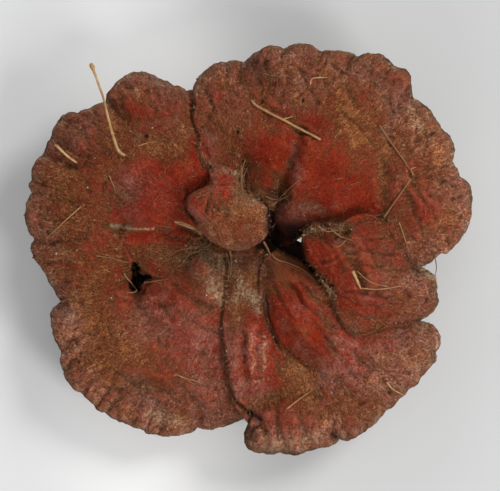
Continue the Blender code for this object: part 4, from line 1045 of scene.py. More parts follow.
def cap_finish():
    """The material of all the caps, above and below."""
    board = Board("reishi_cap_skin")
    between, mix, fact = board.between, board.mix, board.fact
    dust, pale, hollow, under = fact("dust"), fact("pale"), fact("hollow"), fact("under")
    # Noise from broad patches to single grains, and fibres that run outwards from the stem.
    broad = board.noise(20.0, 3.0)
    patch = board.noise(5.0, 5.0, 0.6, warp=0.8)
    grain = board.noise(1.7, 5.0, 0.68, warp=0.5)
    fine = board.noise(0.7, 3.0, 0.6)
    speck = board.noise(0.9, 1.0, 0.5, warp=1.6)
    hair = board.noise(1.1, 4.0, 0.62, place=board.grown(0.085, 0.16), warp=1.3)
    streak = board.noise(0.8, 3.0, 0.6, place=board.grown(0.085, 0.12), warp=2.0)
    swirl, wrinkle = vein(board, 4.6, 4.0, 2.4, 0.05)
    _, crease = vein(board, 2.4, 3.0, 3.2, 0.034)
    gritty = grain + (fine - 0.5) * 0.9
    cover = dust * 1.0 + (grain - 0.5) * 0.7 + (patch - 0.5) * 0.5 + (hair - 0.5) * 1.8 + (fine - 0.5) * 1.2
    cover = between(cover, 0.18, 1.0)
    # Lacquer, with brighter patches, deep grains and worn specks. Under thin dust it looks wine red.
    red = mix(between(broad, 0.35, 0.66), *LACQUER)
    red = mix(between(patch, 0.50, 0.76) * 0.3, red, LACQUER_BRIGHT)
    red = mix(between(gritty, 0.52, 0.32) * (cover * 0.4 + 0.35), red, LACQUER_DEEP)
    red = mix(between(fine + (hair - 0.5) * 0.6, 0.58, 0.74) * (cover * 0.4 + 0.05), red, LACQUER_WORN)
    wine = mix(between(patch, 0.28, 0.72), *WINE)
    wine = mix(between(gritty, 0.49, 0.31) * 0.6, wine, WINE_DEEP)
    red = mix(between(dust + (broad - 0.5) * 0.4, -0.10, 0.50) * 0.9, red, wine)
    # Painted shade along the wrinkles.
    red = mix(wrinkle * 0.32, red, WRINKLE_SHADE_RED)
    # Dust and soil.
    ochre = mix(between(patch, 0.28, 0.74), *OCHRE)
    ochre = mix(between(grain + (fine - 0.5) * 1.1, 0.50, 0.30) * 0.55, ochre, OCHRE_DEEP)
    ochre = mix(between(fine + (hair - 0.5) * 0.7, 0.54, 0.69) * 0.6, ochre, OCHRE_BRIGHT)
    # Painted shade along the wrinkles.
    ochre = mix(wrinkle * 0.45, ochre, WRINKLE_SHADE_OCHRE)
    skin = mix(cover * 0.84, red, ochre)
    violet = mix(between(grain, 0.38, 0.62), *MILKY_VIOLET)
    ash = mix(between(grain + (fine - 0.5) * 0.5, 0.36, 0.64), *ASH_AND_SHEEN_GREY)
    rust = mix(between(patch, 0.4, 0.62), *RIM_RUST)
    bloom_and_highlight = between(pale * 0.9 + (grain - 0.5) * 1.7 + (fine - 0.5) * 1.4, 0.25, 1.05)
    mould_and_highlight = between(pale * 0.9 + (speck - 0.5) * 1.6 + (fine - 0.5) * 1.2, 0.78, 1.15)
    layers = [  # how much of each, and what
        (between(streak, 0.55, 0.70) * (cover * 0.55 + 0.05), FIBRE_PALE),
        (between(streak, 0.45, 0.29) * (cover * 0.35 + 0.2), FIBRE_DARK),
        (fact("violet") * 0.74 * between(patch + (fine - 0.5) * 0.5, 0.28, 0.64), violet),
        # Ash, and painted grey highlights.
        (fact("ash") * 0.8 * between(swirl + (fine - 0.5) * 0.5, 0.36, 0.62), ash),
        (fact("rim") * 0.8, rust),
        # Painted light on lit margins and ridges, and paler skin.
        (fact("lit_and_pale"), LIGHTENING, "MULTIPLY"),
        (between(speck, 0.48, 0.61) * 0.86, PALE_SPECK, "MULTIPLY"),
        (between(speck, 0.46, 0.34) * 0.7, DARK_SPECK, "MULTIPLY"),
        # Painted shade along the creases.
        (crease * 0.45, CREASE_SHADE, "MULTIPLY"),
        # Bloom and mould, with painted highlights.
        (bloom_and_highlight * 0.75, BLOOM_AND_HIGHLIGHT),
        (mould_and_highlight * 0.6, MOULD_AND_HIGHLIGHT),
        # Painted shade in hollows, and a painted highlight on raised points.
        (between(hollow, 0.57, 0.92) * 0.52, HOLLOW_SHADE),
        (between(hollow, 0.42, 0.05) * 0.28, RAISED_HIGHLIGHT),
        # Painted shade, with some dark dirt, near black.
        (fact("dark") * 0.96, SHADE_AND_DIRT),
    ]
    for share, colour, *blend in layers:
        skin = mix(share, skin, colour, *blend)
    # The pore side below.
    pores = board.node("ShaderNodeTexVoronoi", {}, {"Vector": board.place(), "Scale": 1.0 / (PORE_SIZE * MM)})
    flesh = mix(broad, *FLESH)
    flesh = mix(between(pores, 0.35, 0.1) * 0.7, flesh, PORE)
    flesh = mix(between(patch, 0.55, 0.75) * 0.4, flesh, FLESH_STAIN)
    skin = mix(under, skin, flesh)
    rough = between(cover + bloom_and_highlight + under, 0.0, 1.1) * 0.45 + 0.38 + (grain - 0.5) * 0.2
    dusty = cover * 0.7 + 0.3
    bumps = [  # what stands out, by how many mm, and how strongly
        (patch, 0.7, 0.3), (wrinkle * -1.0, 0.35, 0.5), (crease * -1.0, 0.3, 0.6), (grain * dusty, 0.8, 0.7),
        (hair * dusty, 0.9, 0.7), (streak * (cover * 0.6 + 0.4), 0.4, 0.7), (fine, 0.35, 0.7),
        (pores * under, 0.5, 0.5),
    ]
    return board.finish(skin, rough, bumps, {"Specular IOR Level": 0.025})


CAP_SKIN = cap_finish()
print("cap finish:", len(CAP_SKIN.node_tree.nodes), "nodes")

# %% [markdown]
# ## Growing the six fans
#
# Now each fan becomes a closed mesh with its facts. The seed differs from cap to cap, so no two share
# their folds.

# %% Fans


def fan_cap(name, seed):
    """The mesh of a fan, and its upper skin as rows of x, y, z and dust for what lies on it."""
    upper, lower, facts = fan_surface(name, seed)
    edge_row = np.zeros(upper.shape[:2], bool)
    edge_row[[0, -1]] = edge_row[:, [0, -1]] = True
    upper[..., 2] += np.where(edge_row & (upper[..., 2] - lower[..., 2] < 2 * THINNEST), RIM_HALF, 0)
    lower[..., 2] -= np.where(edge_row, RIM_HALF, 0)
    x, y, z = upper[..., 0], upper[..., 1], upper[..., 2]
    found = skin_facts(x, y, z, facts["edge"], facts["crack"], facts["pit"])
    low = lower[::COARSE, ::COARSE]
    points = np.concatenate([upper.reshape(-1, 3), low.reshape(-1, 3)])
    attributes = {key: np.append(value, value[::COARSE, ::COARSE]) for key, value in found.items()}
    attributes["under"] = np.concatenate([np.zeros(z.size), np.ones(low[..., 0].size)])
    rows, columns = z.shape[0] - 1, z.shape[1] - 1
    body = finished_mesh(name + "_skin", points, fan_faces(rows, columns), attributes, CAP_SKIN)
    print(name, len(points), "points")
    return body, np.column_stack([upper.reshape(-1, 3), found["dust"].ravel()])


skins, tops = {}, []
for number, name in enumerate(FANS):
    skins[name], top = fan_cap(name, 3 + 7 * number)
    tops.append(top)

# %% [markdown]
# ## The young cap
#
# The small cap in the middle is round enough for a polar surface: rays from its pole to its outline, a
# dome on top, a rolled rim and a stalk that goes down to the stem.

# %% Young cap
YOUNG_POLE = np.array([-12.0, 30.0])
YOUNG_OUTLINE = [
    (-26, 62, 70), (-24, 56, 71), (-24, 50, 70), (-31, 45.5, 68), (-38.5, 42, 66), (-41, 36.5, 65),
    (-39, 30.5, 65), (-33, 25, 68), (-30.5, 18, 74), (-26, 13, 79), (-20.5, 9, 82), (-11.5, 5, 83),
    (-2, 4, 83), (6, 7, 83), (13, 12, 83), (16.5, 19.5, 83), (17, 28.5, 84), (13.5, 35.5, 84),
    (7.5, 39, 83), (1.5, 41.5, 80), (-1.5, 46, 73), (-3, 53.5, 70), (-8.5, 58.5, 70), (-17, 61.5, 71),
]
# How flush the young cap's edge lies with the large caps, one value per outline point.
YOUNG_FLUSH = [1, 0.3, 0, 0, 0, 0, 0, 0, 0, 0, 0, 0, 0, 0, 0, 0, 0, 0, 0, 0.1, 0.6, 1, 1, 1]
# Its lobes, which are disc, neck and side lobe: line in pixels, half width in mm, the height of the crest
# at both ends of the line, and the fall from there to the half width.
YOUNG_LOBES = [
    ([(230, 216), (243, 221)], 21.5, 89.0, 89.0, 5.0),
    ([(226, 158), (229, 180), (232, 204)], 11.0, 72.0, 87.0, 7.0),
    ([(199, 194), (201, 208)], 9.5, 78.0, 78.0, 8.0),
]
LOBE_POWER, LOBE_BLEND = 2.6, 0.8   # how square-shouldered a lobe is, and how softly two of them join
YOUNG_FOLDS = in_mm([
    ((213, 184), (212, 196), (208, 212), 1.2, -1.4), ((240, 180), (246, 196), 2.4, -1.8),
    ((215, 205), (224, 214), 2.4, -0.8), ((246, 214), (256, 226), 5, 0.8),
    ((222, 186), (221, 202), 1.8, -0.8), ((230, 226), (236, 242), 2.4, -0.8),
    ((214, 226), (218, 238), 2, -0.7),
])
YOUNG_CROWN, CROWN_GRAIN = 89.0, 0.6    # its highest point, and what the finest lumps may add
YOUNG_SIDES, YOUNG_RINGS, YOUNG_UNDER = 300, 66, 24     # rays, rings on top and rings below
YOUNG_SHARP = 1.6       # how many times tighter than at a margin it rolls over
YOUNG_INWARD = 6        # its rim is as clean as a large cap's skin this far in from the margin, in mm
YOUNG_LUMPS = [(1.3, 9.0, 3, 71), (0.3, 2.8, 2, 74)]    # height, size, layers, seed


def polar_faces(sides, rings):
    """Faces of a closed polar surface: a fan of triangles at each pole and quads between the rings."""
    ring = 1 + np.arange(rings * sides).reshape(rings, sides)
    turn = np.roll(ring, -1, 1)
    last = rings * sides + 1
    quads = np.stack([ring[:-1], ring[1:], turn[1:], turn[:-1]], -1).reshape(-1, 4)
    start = np.stack([np.zeros(sides, int), ring[0], turn[0]], -1)
    end = np.stack([np.full(sides, last), turn[-1], ring[-1]], -1)
    return start.tolist() + quads.tolist() + end.tolist()


def young_cap():
    """The young cap's mesh, and its upper skin as rows of x, y, z and dust."""
    turn = np.arange(YOUNG_SIDES) / YOUNG_SIDES
    outline = smooth_line(YOUNG_OUTLINE + YOUNG_OUTLINE[:1], turn)
    reach = outline[:, :2] - YOUNG_POLE
    length = np.linalg.norm(reach, axis=1)
    wave = 0.7 * noise(8 * np.cos(math.tau * turn) + 9, 8 * np.sin(math.tau * turn) + 9, 1.0)
    reach = reach * (1 + wave / length)[:, None]
    # Rings crowd towards the rim on top. Below, they draw in to the neck and then to a point.
    inner = 1 - (1 - np.linspace(0, 1, YOUNG_RINGS + 1)[1:]) ** 1.7
    down = np.linspace(0, 1, YOUNG_UNDER + 1)[1:-1]
    share = np.concatenate([inner, 1 - 0.56 * rises(down, 0, 0.62) - 0.42 * rises(down, 0.8, 1)])[:, None]
    x = YOUNG_POLE[0] + share * reach[:, 0]
    y = YOUNG_POLE[1] + share * reach[:, 1]
    edge = outline[None, :, 2]
    rim = line_distance(np.vstack([outline, outline[:1]])[::4], x, y)[0]
    around = YOUNG_FLUSH + YOUNG_FLUSH[:1]
    flush = np.interp(turn * len(YOUNG_FLUSH), np.arange(len(around)), around)[None]
    round_off = rounding(YOUNG_SHARP * rim + EDGE_ROUND * flush)
    # The highest lobe wins, and a log of summed exponentials rounds the groove where two of them meet.
    heights = [edge - 30 * (1 - flush) + 0 * x]
    for line, half, first, last, fall in YOUNG_LOBES:
        away, along = line_distance(on_plan(line), x, y)
        heights.append(first + (last - first) * along - fall * (away / half) ** LOBE_POWER)
    lobes = np.sum(np.exp((np.array(heights) - YOUNG_CROWN) / LOBE_BLEND), axis=0)
    body = LOBE_BLEND * np.log(lobes) + YOUNG_CROWN
    top = edge - LIP + round_off * (LIP + body - edge)
    lumps = sum(height * layered(x, y, size, layers, seed) for height, size, layers, seed in YOUNG_LUMPS)
    top += round_off * (lumps + strokes(YOUNG_FOLDS, x, y))
    top = np.minimum(top, YOUNG_CROWN + CROWN_GRAIN)
    low_edge = edge - LIP - 3.0 * rises(down, 0, 0.3)[:, None] - 5.0 * rises(down, 0.2, 0.6)[:, None]
    wall = rises(down, 0.5, 0.82)[:, None]
    low = low_edge * (1 - wall) + (SEAT_Z - 1.0) * wall
    z = np.concatenate([top[:YOUNG_RINGS], low])
    grid = np.dstack([x, y, z])
    pole, foot = [[*YOUNG_POLE, top[0].mean()]], [[*YOUNG_POLE, SEAT_Z - 1.0]]
    points = np.concatenate([pole, grid.reshape(-1, 3), foot])
    # It is dustier in patches, and lighter than the large caps.
    inward = rim + YOUNG_INWARD
    found = skin_facts(x, y, z, inward, inward, 0 * x)
    found["under"] = np.zeros(z.shape)
    found["under"][YOUNG_RINGS + 2:] = 1
    dust = found["dust"] * 0.95 + 0.06 * rises(z, 82, 88) + 0.35 * layered(x, y, 5.0, 2, 61)
    changed = {"dust": dust, "violet": found["violet"] + 0.05, "pale": found["pale"] + 0.05,
               "lit_and_pale": found["lit_and_pale"] + 0.38}
    found.update({key: np.clip(value, 0, 1) for key, value in changed.items()})
    facts = {k: np.concatenate([v[:1, 0], v.ravel(), v[-1:, 0]]) for k, v in found.items()}
    body = finished_mesh("cap_young_skin", points, polar_faces(YOUNG_SIDES, len(share)), facts, CAP_SKIN)
    return body, np.dstack([grid, found["dust"]])[:YOUNG_RINGS].reshape(-1, 4)


skins["cap_young"], young_top = young_cap()
ground_points = np.vstack(tops + [young_top])
print("skins:", len(skins))

# %% [markdown]
# ## The stem
#
# Under the caps a short trunk flares into buttresses, one for each cap, and ends in a flat cut. It is
# the same polar surface, with ridges like the grain of wood running down it.

# %% Stem
FOOT_REACH = [
    (-15, 36), (18, 30), (45, 36), (70, 33), (95, 38), (120, 34), (160, 38), (190, 35), (225, 39),
    (250, 34), (275, 38), (310, 34),
]
SEAT_REACH = [
    (-30, 55), (-6, 56), (3, 48), (12, 40), (19, 36.5), (26, 37), (36, 47), (62, 45), (75, 52), (92, 46),
    (112, 54), (138, 46), (165, 55), (190, 47), (226, 56), (250, 46), (270, 51), (292, 45), (310, 53),
]
# Heights down the trunk, and its reach there from 0 as at the foot to 1 as at the seat.
STEM_RINGS = [(34.0, 0.94), (31.5, 1.0), (25.0, 0.7), (17.0, 0.34), (9.0, 0.1), (2.5, 0.02), (0.0, -0.05)]
STEM_SIDES, STEM_ROWS, STEM_FLAT = 360, 90, 12      # rays, rings down the trunk and on each flat end
RIDGES = [(1.0, 6, 20, 60), (0.5, 14, 40, 30)]      # share, count, place in the noise, length in mm
RIDGE_HEIGHT, RIDGE_MOST = 2.2, 1.5


def reach_at(table, angle):
    """Reach at an angle, by raised-cosine blends between the table's neighbours."""
    rows = sorted((a % 360, r) for a, r in table)
    a = np.array([rows[-1][0] - 360] + [row[0] for row in rows] + [rows[0][0] + 360])
    r = np.array([rows[-1][1]] + [row[1] for row in rows] + [rows[0][1]], float)
    k = np.clip(np.searchsorted(a, angle, side="right") - 1, 0, len(a) - 2)
    f = (angle - a[k]) / (a[k + 1] - a[k])
    return r[k] + (r[k + 1] - r[k]) * (1 - np.cos(math.pi * f)) / 2


def stem_finish():
    """Dark streaky bark, brown where it weathers, the paler wood of the cut foot, and painted shade, near
    black, high on the trunk under the caps.
    """
    board = Board("reishi_stem_bark")
    streak = board.noise(5.0, 5.0, 0.6, place=board.place((1.0, 1.0, 0.25)), warp=0.5)
    broad = board.noise(16.0, 3.0)
    fine = board.noise(0.9, 4.0, 0.6)
    cut = board.fact("cut")
    bark = board.mix(board.between(streak, 0.35, 0.65), (0.045, 0.014, 0.009), (0.165, 0.048, 0.026))
    bark = board.mix(board.between(broad + (fine - 0.5) * 0.6, 0.5, 0.68) * 0.75, bark, (0.17, 0.095, 0.055))
    wood = board.mix(board.between(streak, 0.35, 0.7), (0.17, 0.095, 0.05), (0.33, 0.21, 0.12))
    wood = board.mix(board.between(fine, 0.55, 0.7) * 0.6, wood, (0.09, 0.045, 0.025))
    # Painted shade: near black where `shade` is high, on the top of the trunk.
    colour = board.mix(board.fact("shade") * 0.9, board.mix(cut, bark, wood), (0.030, 0.013, 0.008))
    rough = 0.5 + (fine - 0.5) * 0.4 + cut * 0.25
    bumps = [(streak, 1.2, 0.5), (fine, 0.4, 0.5)]
    return board.finish(colour, rough, bumps, {"Specular IOR Level": 0.15})


def stem():
    """A trunk between two flat ends: the cut foot, and the seat that the caps hide."""
    angle = np.arange(STEM_SIDES) * 360 / STEM_SIDES
    foot, seat = reach_at(FOOT_REACH, angle), reach_at(SEAT_REACH, angle)
    down = smooth_line(STEM_RINGS, np.linspace(0, 1, STEM_ROWS))
    z, share = np.clip(down[:, :1], 0, SEAT_Z) + 0 * angle[None], np.clip(down[:, 1:], -0.05, 1)
    r = foot * (1 - share) + seat * share
    flat_in = np.linspace(0.12, 1, STEM_FLAT)[:-1, None]
    radius = np.concatenate([r[0] * flat_in, r, r[-1] * flat_in[::-1]])
    flat = np.zeros((STEM_FLAT - 1, STEM_SIDES))
    height = np.concatenate([flat + SEAT_Z, z, flat])
    a = np.radians(angle)
    ridges = sum(share * noise(count * np.cos(a) + place, count * np.sin(a) + place, height / long)
                 for share, count, place, long in RIDGES)
    push = RIDGE_HEIGHT * ridges * rises(height, 0.2, 6) * rises(SEAT_Z - height, -4, 6)
    push = push * (radius > 0.9 * foot)
    radius = np.maximum(radius + np.minimum(push, RIDGE_MOST), 1.0)
    x, y = radius * np.cos(a), radius * np.sin(a)
    inner = rises(height, SEAT_Z - 0.5, SEAT_Z) * rises(seat - radius, 0, 10)
    height = height - inner * (1.2 + 1.6 * layered(x, y, 12.0, 3, 90))
    height = np.clip(height, 0, SEAT_Z + 0.1)
    points = np.concatenate([[[0, 0, SEAT_Z - 1]], np.dstack([x, y, height]).reshape(-1, 3), [[0, 0, 0]]])
    # `shade` marks the top of the trunk for painted shade; only the gaps between the caps show it.
    facts = {"cut": np.concatenate([[0], (height < 0.05).astype(float).ravel(), [1]]),
             "shade": np.concatenate([[1], rises(height, 26, 31).ravel(), [0]])}
    return finished_mesh("stem_wood", points, polar_faces(STEM_SIDES, len(radius)), facts, stem_finish())


skins["stem"] = stem()
print("stem:", len(skins["stem"].data.vertices), "points")

# %% [markdown]
# ## Dry grass
#
# Grass grew through the young mushroom, which closed round it. A stalk could be a row of cylinders, but a
# tube, which is a circle carried along a path, bends without joints. The path is drawn from above, and
# each of its points is set on the highest skin below it.

# %% Grass stalks
CELL, BORDER = 0.8, 4       # of the map of the ground: its cells and its border, in mm
SPARE_CELLS = 6             # past the last point
CORNER = ground_points[:, :2].min(0) - BORDER


def ground_map():
    """The skins as a map of heights: the highest point in each cell, and empty cells filled in from their
    neighbours."""
    order = np.argsort(ground_points[:, 2])
    cell = ((ground_points[order, :2] - CORNER) / CELL).astype(int)
    height = np.full(cell.max(0) + SPARE_CELLS, -1.0)
    height[cell[:, 0], cell[:, 1]] = ground_points[order, 2]
    for _ in range(2):
        shifts = [(1, 0), (-1, 0), (0, 1), (0, -1)]
        around = np.max([np.roll(height, shift, (0, 1)) for shift in shifts], axis=0)
        height = np.where(height < 0, around, height)
    return height


GROUND = ground_map()


def ground(x, y):
    """Height of the highest skin at each place, below 0 where there is none."""
    i = np.clip((np.stack([x, y], -1) - CORNER) / CELL - 0.5, 0, np.array(GROUND.shape) - 2)
    k = i.astype(int)
    f = i - k
    a, b = k[..., 0], k[..., 1]
    low = GROUND[a, b] * (1 - f[..., 0]) + GROUND[a + 1, b] * f[..., 0]
    high = GROUND[a, b + 1] * (1 - f[..., 0]) + GROUND[a + 1, b + 1] * f[..., 0]
    smooth = low * (1 - f[..., 1]) + high * f[..., 1]
    corners = np.minimum.reduce([GROUND[a, b], GROUND[a + 1, b], GROUND[a, b + 1], GROUND[a + 1, b + 1]])
    return np.where(corners < 0, -1.0, smooth)


def tube(path, radii, sides, wobble=0.0, seed=0):
    """Points and faces of a closed tube: a circle of each radius, across the path, and a tip at each end."""
    ahead = np.gradient(path, axis=0)
    ahead /= np.linalg.norm(ahead, axis=1, keepdims=True)
    across = np.cross(ahead, [0.0, 0.0, 1.0])
    across /= np.maximum(np.linalg.norm(across, axis=1, keepdims=True), 1e-6)
    upward = np.cross(across, ahead)
    turn = np.arange(sides) * math.tau / sides
    knots = noise(np.arange(len(path))[:, None] / 3.0, 2 * np.cos(turn) + seed, 0.5)
    r = radii[:, None] * (1 + wobble * knots)
    circle = np.cos(turn)[None, :, None] * across[:, None] + np.sin(turn)[None, :, None] * upward[:, None]
    ring = path[:, None] + r[..., None] * circle
    points = np.concatenate([path[:1], ring.reshape(-1, 3), path[-1:]])
    return points, polar_faces(sides, len(path))


STIFF, SUNK = 4, 0.3    # points each way that a stalk bridges, and how far in mm it may sink in


def laid_path(pixels, above, count, lift):
    """A path over the skins: the plan line from the photograph, each point `above` the skin by its own
    height. Past the margin the last height goes on."""
    where = np.linspace(0, 1, count)
    plan = smooth_line(on_plan(pixels), where)
    height = np.interp(where, np.linspace(0, 1, len(above)), above)
    level = ground(plan[:, 0], plan[:, 1])
    known = np.flatnonzero(level > 0)
    level = np.interp(np.arange(count), known, level[known])
    # A stiff stalk bridges hollows, so its path follows a smoothed ground.
    window = 2 * STIFF + 1
    stiff = np.convolve(np.pad(level, STIFF, mode="edge"), np.ones(window) / window, "valid")
    return np.column_stack([plan, np.maximum(level - SUNK, stiff) + height + lift])


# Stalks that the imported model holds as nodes: pixels, heights over the skin, radii from end to end, and
# how dark the first and last end are. The stained ones lie in the dust.
NODE_STALKS = {
    "grass_stalk_upright": ([(127, 156), (120, 149), (111, 120), (106, 100), (100, 82), (94.5, 66.5)],
                            (0, 4, 9, 14, 20, 26), (1.1, 0.9, 0.8, 0.9), (0.35, 0.25)),
    "grass_stalk_forked": ([(79, 163), (68, 155), (57, 145)], (0, 2.5, 5), (0.8, 0.7, 0.5), (0.3, 0.1)),
    "grass_stalk_long": ([(252, 102), (260, 109), (300, 130), (320, 141)], (1, 0.5, 0.5, 0),
                         (0.95, 0.8, 0.75), (0.75, 0.35)),
    "grass_stalk_outer": ([(378, 127), (395, 151), (412, 176)], (1, 0, 0), (0.85, 0.55, 0.5), (1.0, 0.95)),
    "grass_stalk_inner": ([(409, 179), (396, 198), (383, 217)], (0, 0, 0), (0.55, 0.6, 0.85), (0.9, 1.0)),
}
STALK_POINTS, STALK_SIDES, STALK_LIFT, STALK_WOBBLE = 46, 12, 0.55, 0.35
# The upright stalk ends in a dry seed head: how much thicker, about which point, and how many points long.
SEED_HEAD = (0.75, 43.5, 1.6)
# Thin ones, all joined in one mesh: pixels, heights, radius and how dark the straw is.
THIN_STALKS = [
    ([(59, 145), (68, 154), (79, 163)], (6, 3, 0), 0.45, 0.1),
    ([(283, 121), (293, 118)], (0.5, 2.5), 0.5, 0.3),
    ([(352, 270), (356, 279), (360, 288)], (0.4, 0.4, 0.2), 1.2, 0.2),
    ([(360, 287), (378, 288), (400, 285)], (0, 0.3, 0), 0.45, 0.4),
    ([(356, 270), (370, 281), (392, 287)], (0.2, 0.6, 0), 0.3, 0.5),
    ([(387, 381), (393, 388), (405, 395)], (0.3, 0.3, 0), 0.6, 0.3),
    ([(388, 381), (396, 383), (402, 389)], (0.3, 0.8, 0.2), 0.35, 0.5),
    ([(310, 86), (313, 80), (327, 79)], (0, 1.5, 0.6), 0.5, 0.3),
    ([(84, 206), (68, 220), (48, 238)], (0.2, 1.0, 0), 0.35, 0.5),
    ([(126, 273), (132, 282), (138, 290)], (6, 8, 9), 0.5, 0.7),
    ([(138, 290), (133, 292), (128, 291)], (8, 7, 6), 0.4, 0.6),
    ([(112, 176), (115, 183), (118, 191)], (0.2, 0.5, 0), 0.4, 0.6),
    ([(140, 147), (149, 144), (158, 142)], (0, 0.5, 0), 0.4, 0.5),
    ([(398, 222), (403, 236), (408, 250)], (0.2, 0.6, 0), 0.35, 0.5),
    ([(434, 255), (436, 266), (435, 276)], (1, 2, 1), 0.4, 1.0),
    ([(412, 176), (409, 170), (414, 168)], (0.5, 2, 3), 0.5, 0.5),
    ([(242, 166), (242, 178), (244, 196)], (1.5, 1.5, 1), 0.6, 1.0),
    ([(246, 160), (243, 172), (246, 186)], (1, 2, 1), 0.4, 0.9),
    ([(238, 170), (243, 176), (242, 190)], (1, 2, 1), 0.4, 0.8),
    ([(248, 168), (243, 180), (239, 190)], (1, 1.5, 1), 0.3, 0.9),
    ([(272, 254), (278, 259), (290, 263), (303, 269), (313, 277), (320, 282)],
     (0.6, 0.8, 0.8, 0.6, 0.4, 0.1), 0.45, 0.85),
    ([(273, 257), (284, 263), (296, 268), (308, 275), (318, 283)], (0.3, 0.4, 0.4, 0.3, 0.1), 0.35, 1.0),
    ([(318, 279), (326, 284), (333, 292)], (0.4, 0.8, 0.1), 0.5, 0.85),
    ([(264, 241), (268, 248), (271, 255)], (0.5, 1, 0.6), 0.85, 1.0),
    ([(231, 250), (232, 262), (231, 276)], (0.8, 0.8, 0.4), 0.65, 1.0),
    ([(227, 252), (230, 264), (229, 280)], (0.4, 0.6, 0.2), 0.4, 0.8),
    ([(179, 223), (189, 226), (196, 229), (203, 235)], (0.6, 0.9, 0.8, 0.4), 0.45, 0.2),
    ([(176, 221), (186, 223), (198, 228)], (0.3, 0.5, 0.3), 0.35, 0.3),
    ([(302, 178), (288, 190), (275, 203)], (0.1, 0.3, 0.1), 0.35, 0.95),
    ([(287, 407), (298, 399), (313, 388)], (0.4, 0.5, 0.3), 0.5, 0.4),
    ([(330, 228), (340, 236), (352, 240)], (0.3, 0.8, 0.2), 0.35, 0.6),
    ([(147, 282), (158, 280), (170, 278)], (0.5, 1.5, 0.5), 0.35, 0.9),
    ([(156, 269), (170, 258), (198, 250)], (0.2, 0.6, 0.3), 0.22, 0.9),
    ([(170, 256), (182, 249), (203, 247)], (0.2, 0.5, 0.3), 0.26, 0.8),
    ([(184, 263), (191, 254), (206, 248)], (0.2, 0.8, 0.3), 0.25, 0.75),
    ([(160, 259), (171, 260), (182, 252)], (0.1, 0.3, 0.1), 0.2, 1.0),
    ([(178, 266), (192, 263), (199, 255)], (0.1, 0.4, 0.2), 0.22, 1.0),
    ([(98, 255), (112, 257), (130, 262)], (0.2, 0.4, 0.3), 0.3, 0.75),
    ([(180, 374), (192, 378), (205, 382)], (0.2, 0.4, 0.2), 0.3, 0.4),
    ([(176, 372), (186, 377), (196, 383)], (0.2, 0.3, 0.2), 0.28, 0.5),
    ([(272, 206), (280, 200), (288, 196)], (0.3, 0.6, 0.3), 0.3, 0.55),
    ([(266, 196), (274, 199), (284, 198)], (0.3, 0.5, 0.3), 0.3, 0.6),
    ([(345, 240), (338, 246), (330, 244)], (0.3, 0.6, 0.3), 0.3, 0.6),
    ([(318, 226), (326, 231), (336, 230)], (0.3, 0.6, 0.3), 0.3, 0.5),
]


THIN_TAPER, THIN_WOBBLE, THIN_LIFT = 0.45, 0.4, 0.35    # shares of a thin stalk's radius
STRAW_COLOURS, STRAW_STAIN, STRAW_SPECK = (((0.31, 0.17, 0.07), (0.50, 0.33, 0.155)), (0.13, 0.054, 0.021),
                                           (0.20, 0.10, 0.045))


def straw_finish():
    """Straw that is paler and darker along its length, stained where it lies in dust, with fine specks."""
    board = Board("dry_grass_straw")
    along = board.noise(6.0, 4.0, 0.6)
    fine = board.noise(0.7, 3.0, 0.6)
    colour = board.mix(board.between(along, 0.35, 0.68), *STRAW_COLOURS)
    colour = board.mix(board.fact("shade") * 0.9, colour, STRAW_STAIN)
    colour = board.mix(board.between(fine, 0.56, 0.7) * 0.55, colour, STRAW_SPECK)
    return board.finish(colour, 0.62 + (fine - 0.5) * 0.3, [(fine, 0.25, 0.5)], {"Specular IOR Level": 0.1})


STRAW = straw_finish()
stalks = {}
for number, (name, (pixels, above, widths, ends)) in enumerate(NODE_STALKS.items()):
    path = laid_path(pixels, above, STALK_POINTS, STALK_LIFT)
    radii = np.interp(np.linspace(0, 1, STALK_POINTS), np.linspace(0, 1, len(widths)), widths)
    if name == "grass_stalk_upright":
        thicker, middle, reach = SEED_HEAD
        radii = radii + thicker * bell(np.arange(STALK_POINTS) - middle, reach)
    points, faces = tube(path, radii, STALK_SIDES, STALK_WOBBLE, number)
    shade = np.repeat(np.linspace(*ends, STALK_POINTS), len(points) // STALK_POINTS)
    shade = np.append(shade, np.full(len(points) - len(shade), shade[-1]))
    stalks[name] = finished_mesh(name + "_straw", points, faces, {"shade": shade}, STRAW)


def joined_tubes(name, rows, finish, sides=8, count=22):
    """Many thin tubes in one mesh: the faces of each count on from the points before it."""
    all_points, all_faces, shades, start = [], [], [], 0
    for number, (pixels, above, width, shade) in enumerate(rows):
        path = laid_path(pixels, above, count, THIN_LIFT * width)
        taper = width * (1 - THIN_TAPER * np.linspace(0, 1, count))
        points, faces = tube(path, taper, sides, THIN_WOBBLE, 10 + number)
        all_points.append(points)
        all_faces += [[k + start for k in face] for face in faces]
        shades.append(np.full(len(points), shade))
        start += len(points)
    return finished_mesh(name, np.vstack(all_points), all_faces, {"shade": np.concatenate(shades)}, finish)


thin = joined_tubes("thin_grass", THIN_STALKS, STRAW)
print("stalks:", len(stalks), "and", len(THIN_STALKS), "thin ones")

# %% [markdown]
# ## Root hairs and crumbs of soil
#
# The forest floor still sticks to the skin: short fibres, thin as hair, and crumbs of earth. There are
# thousands, so they are worked out all at once: numpy draws their places at random, weighted towards
# dusty skin and crevices, reads the ground under each, and joins all of one kind in a single mesh.

# %% Scattering

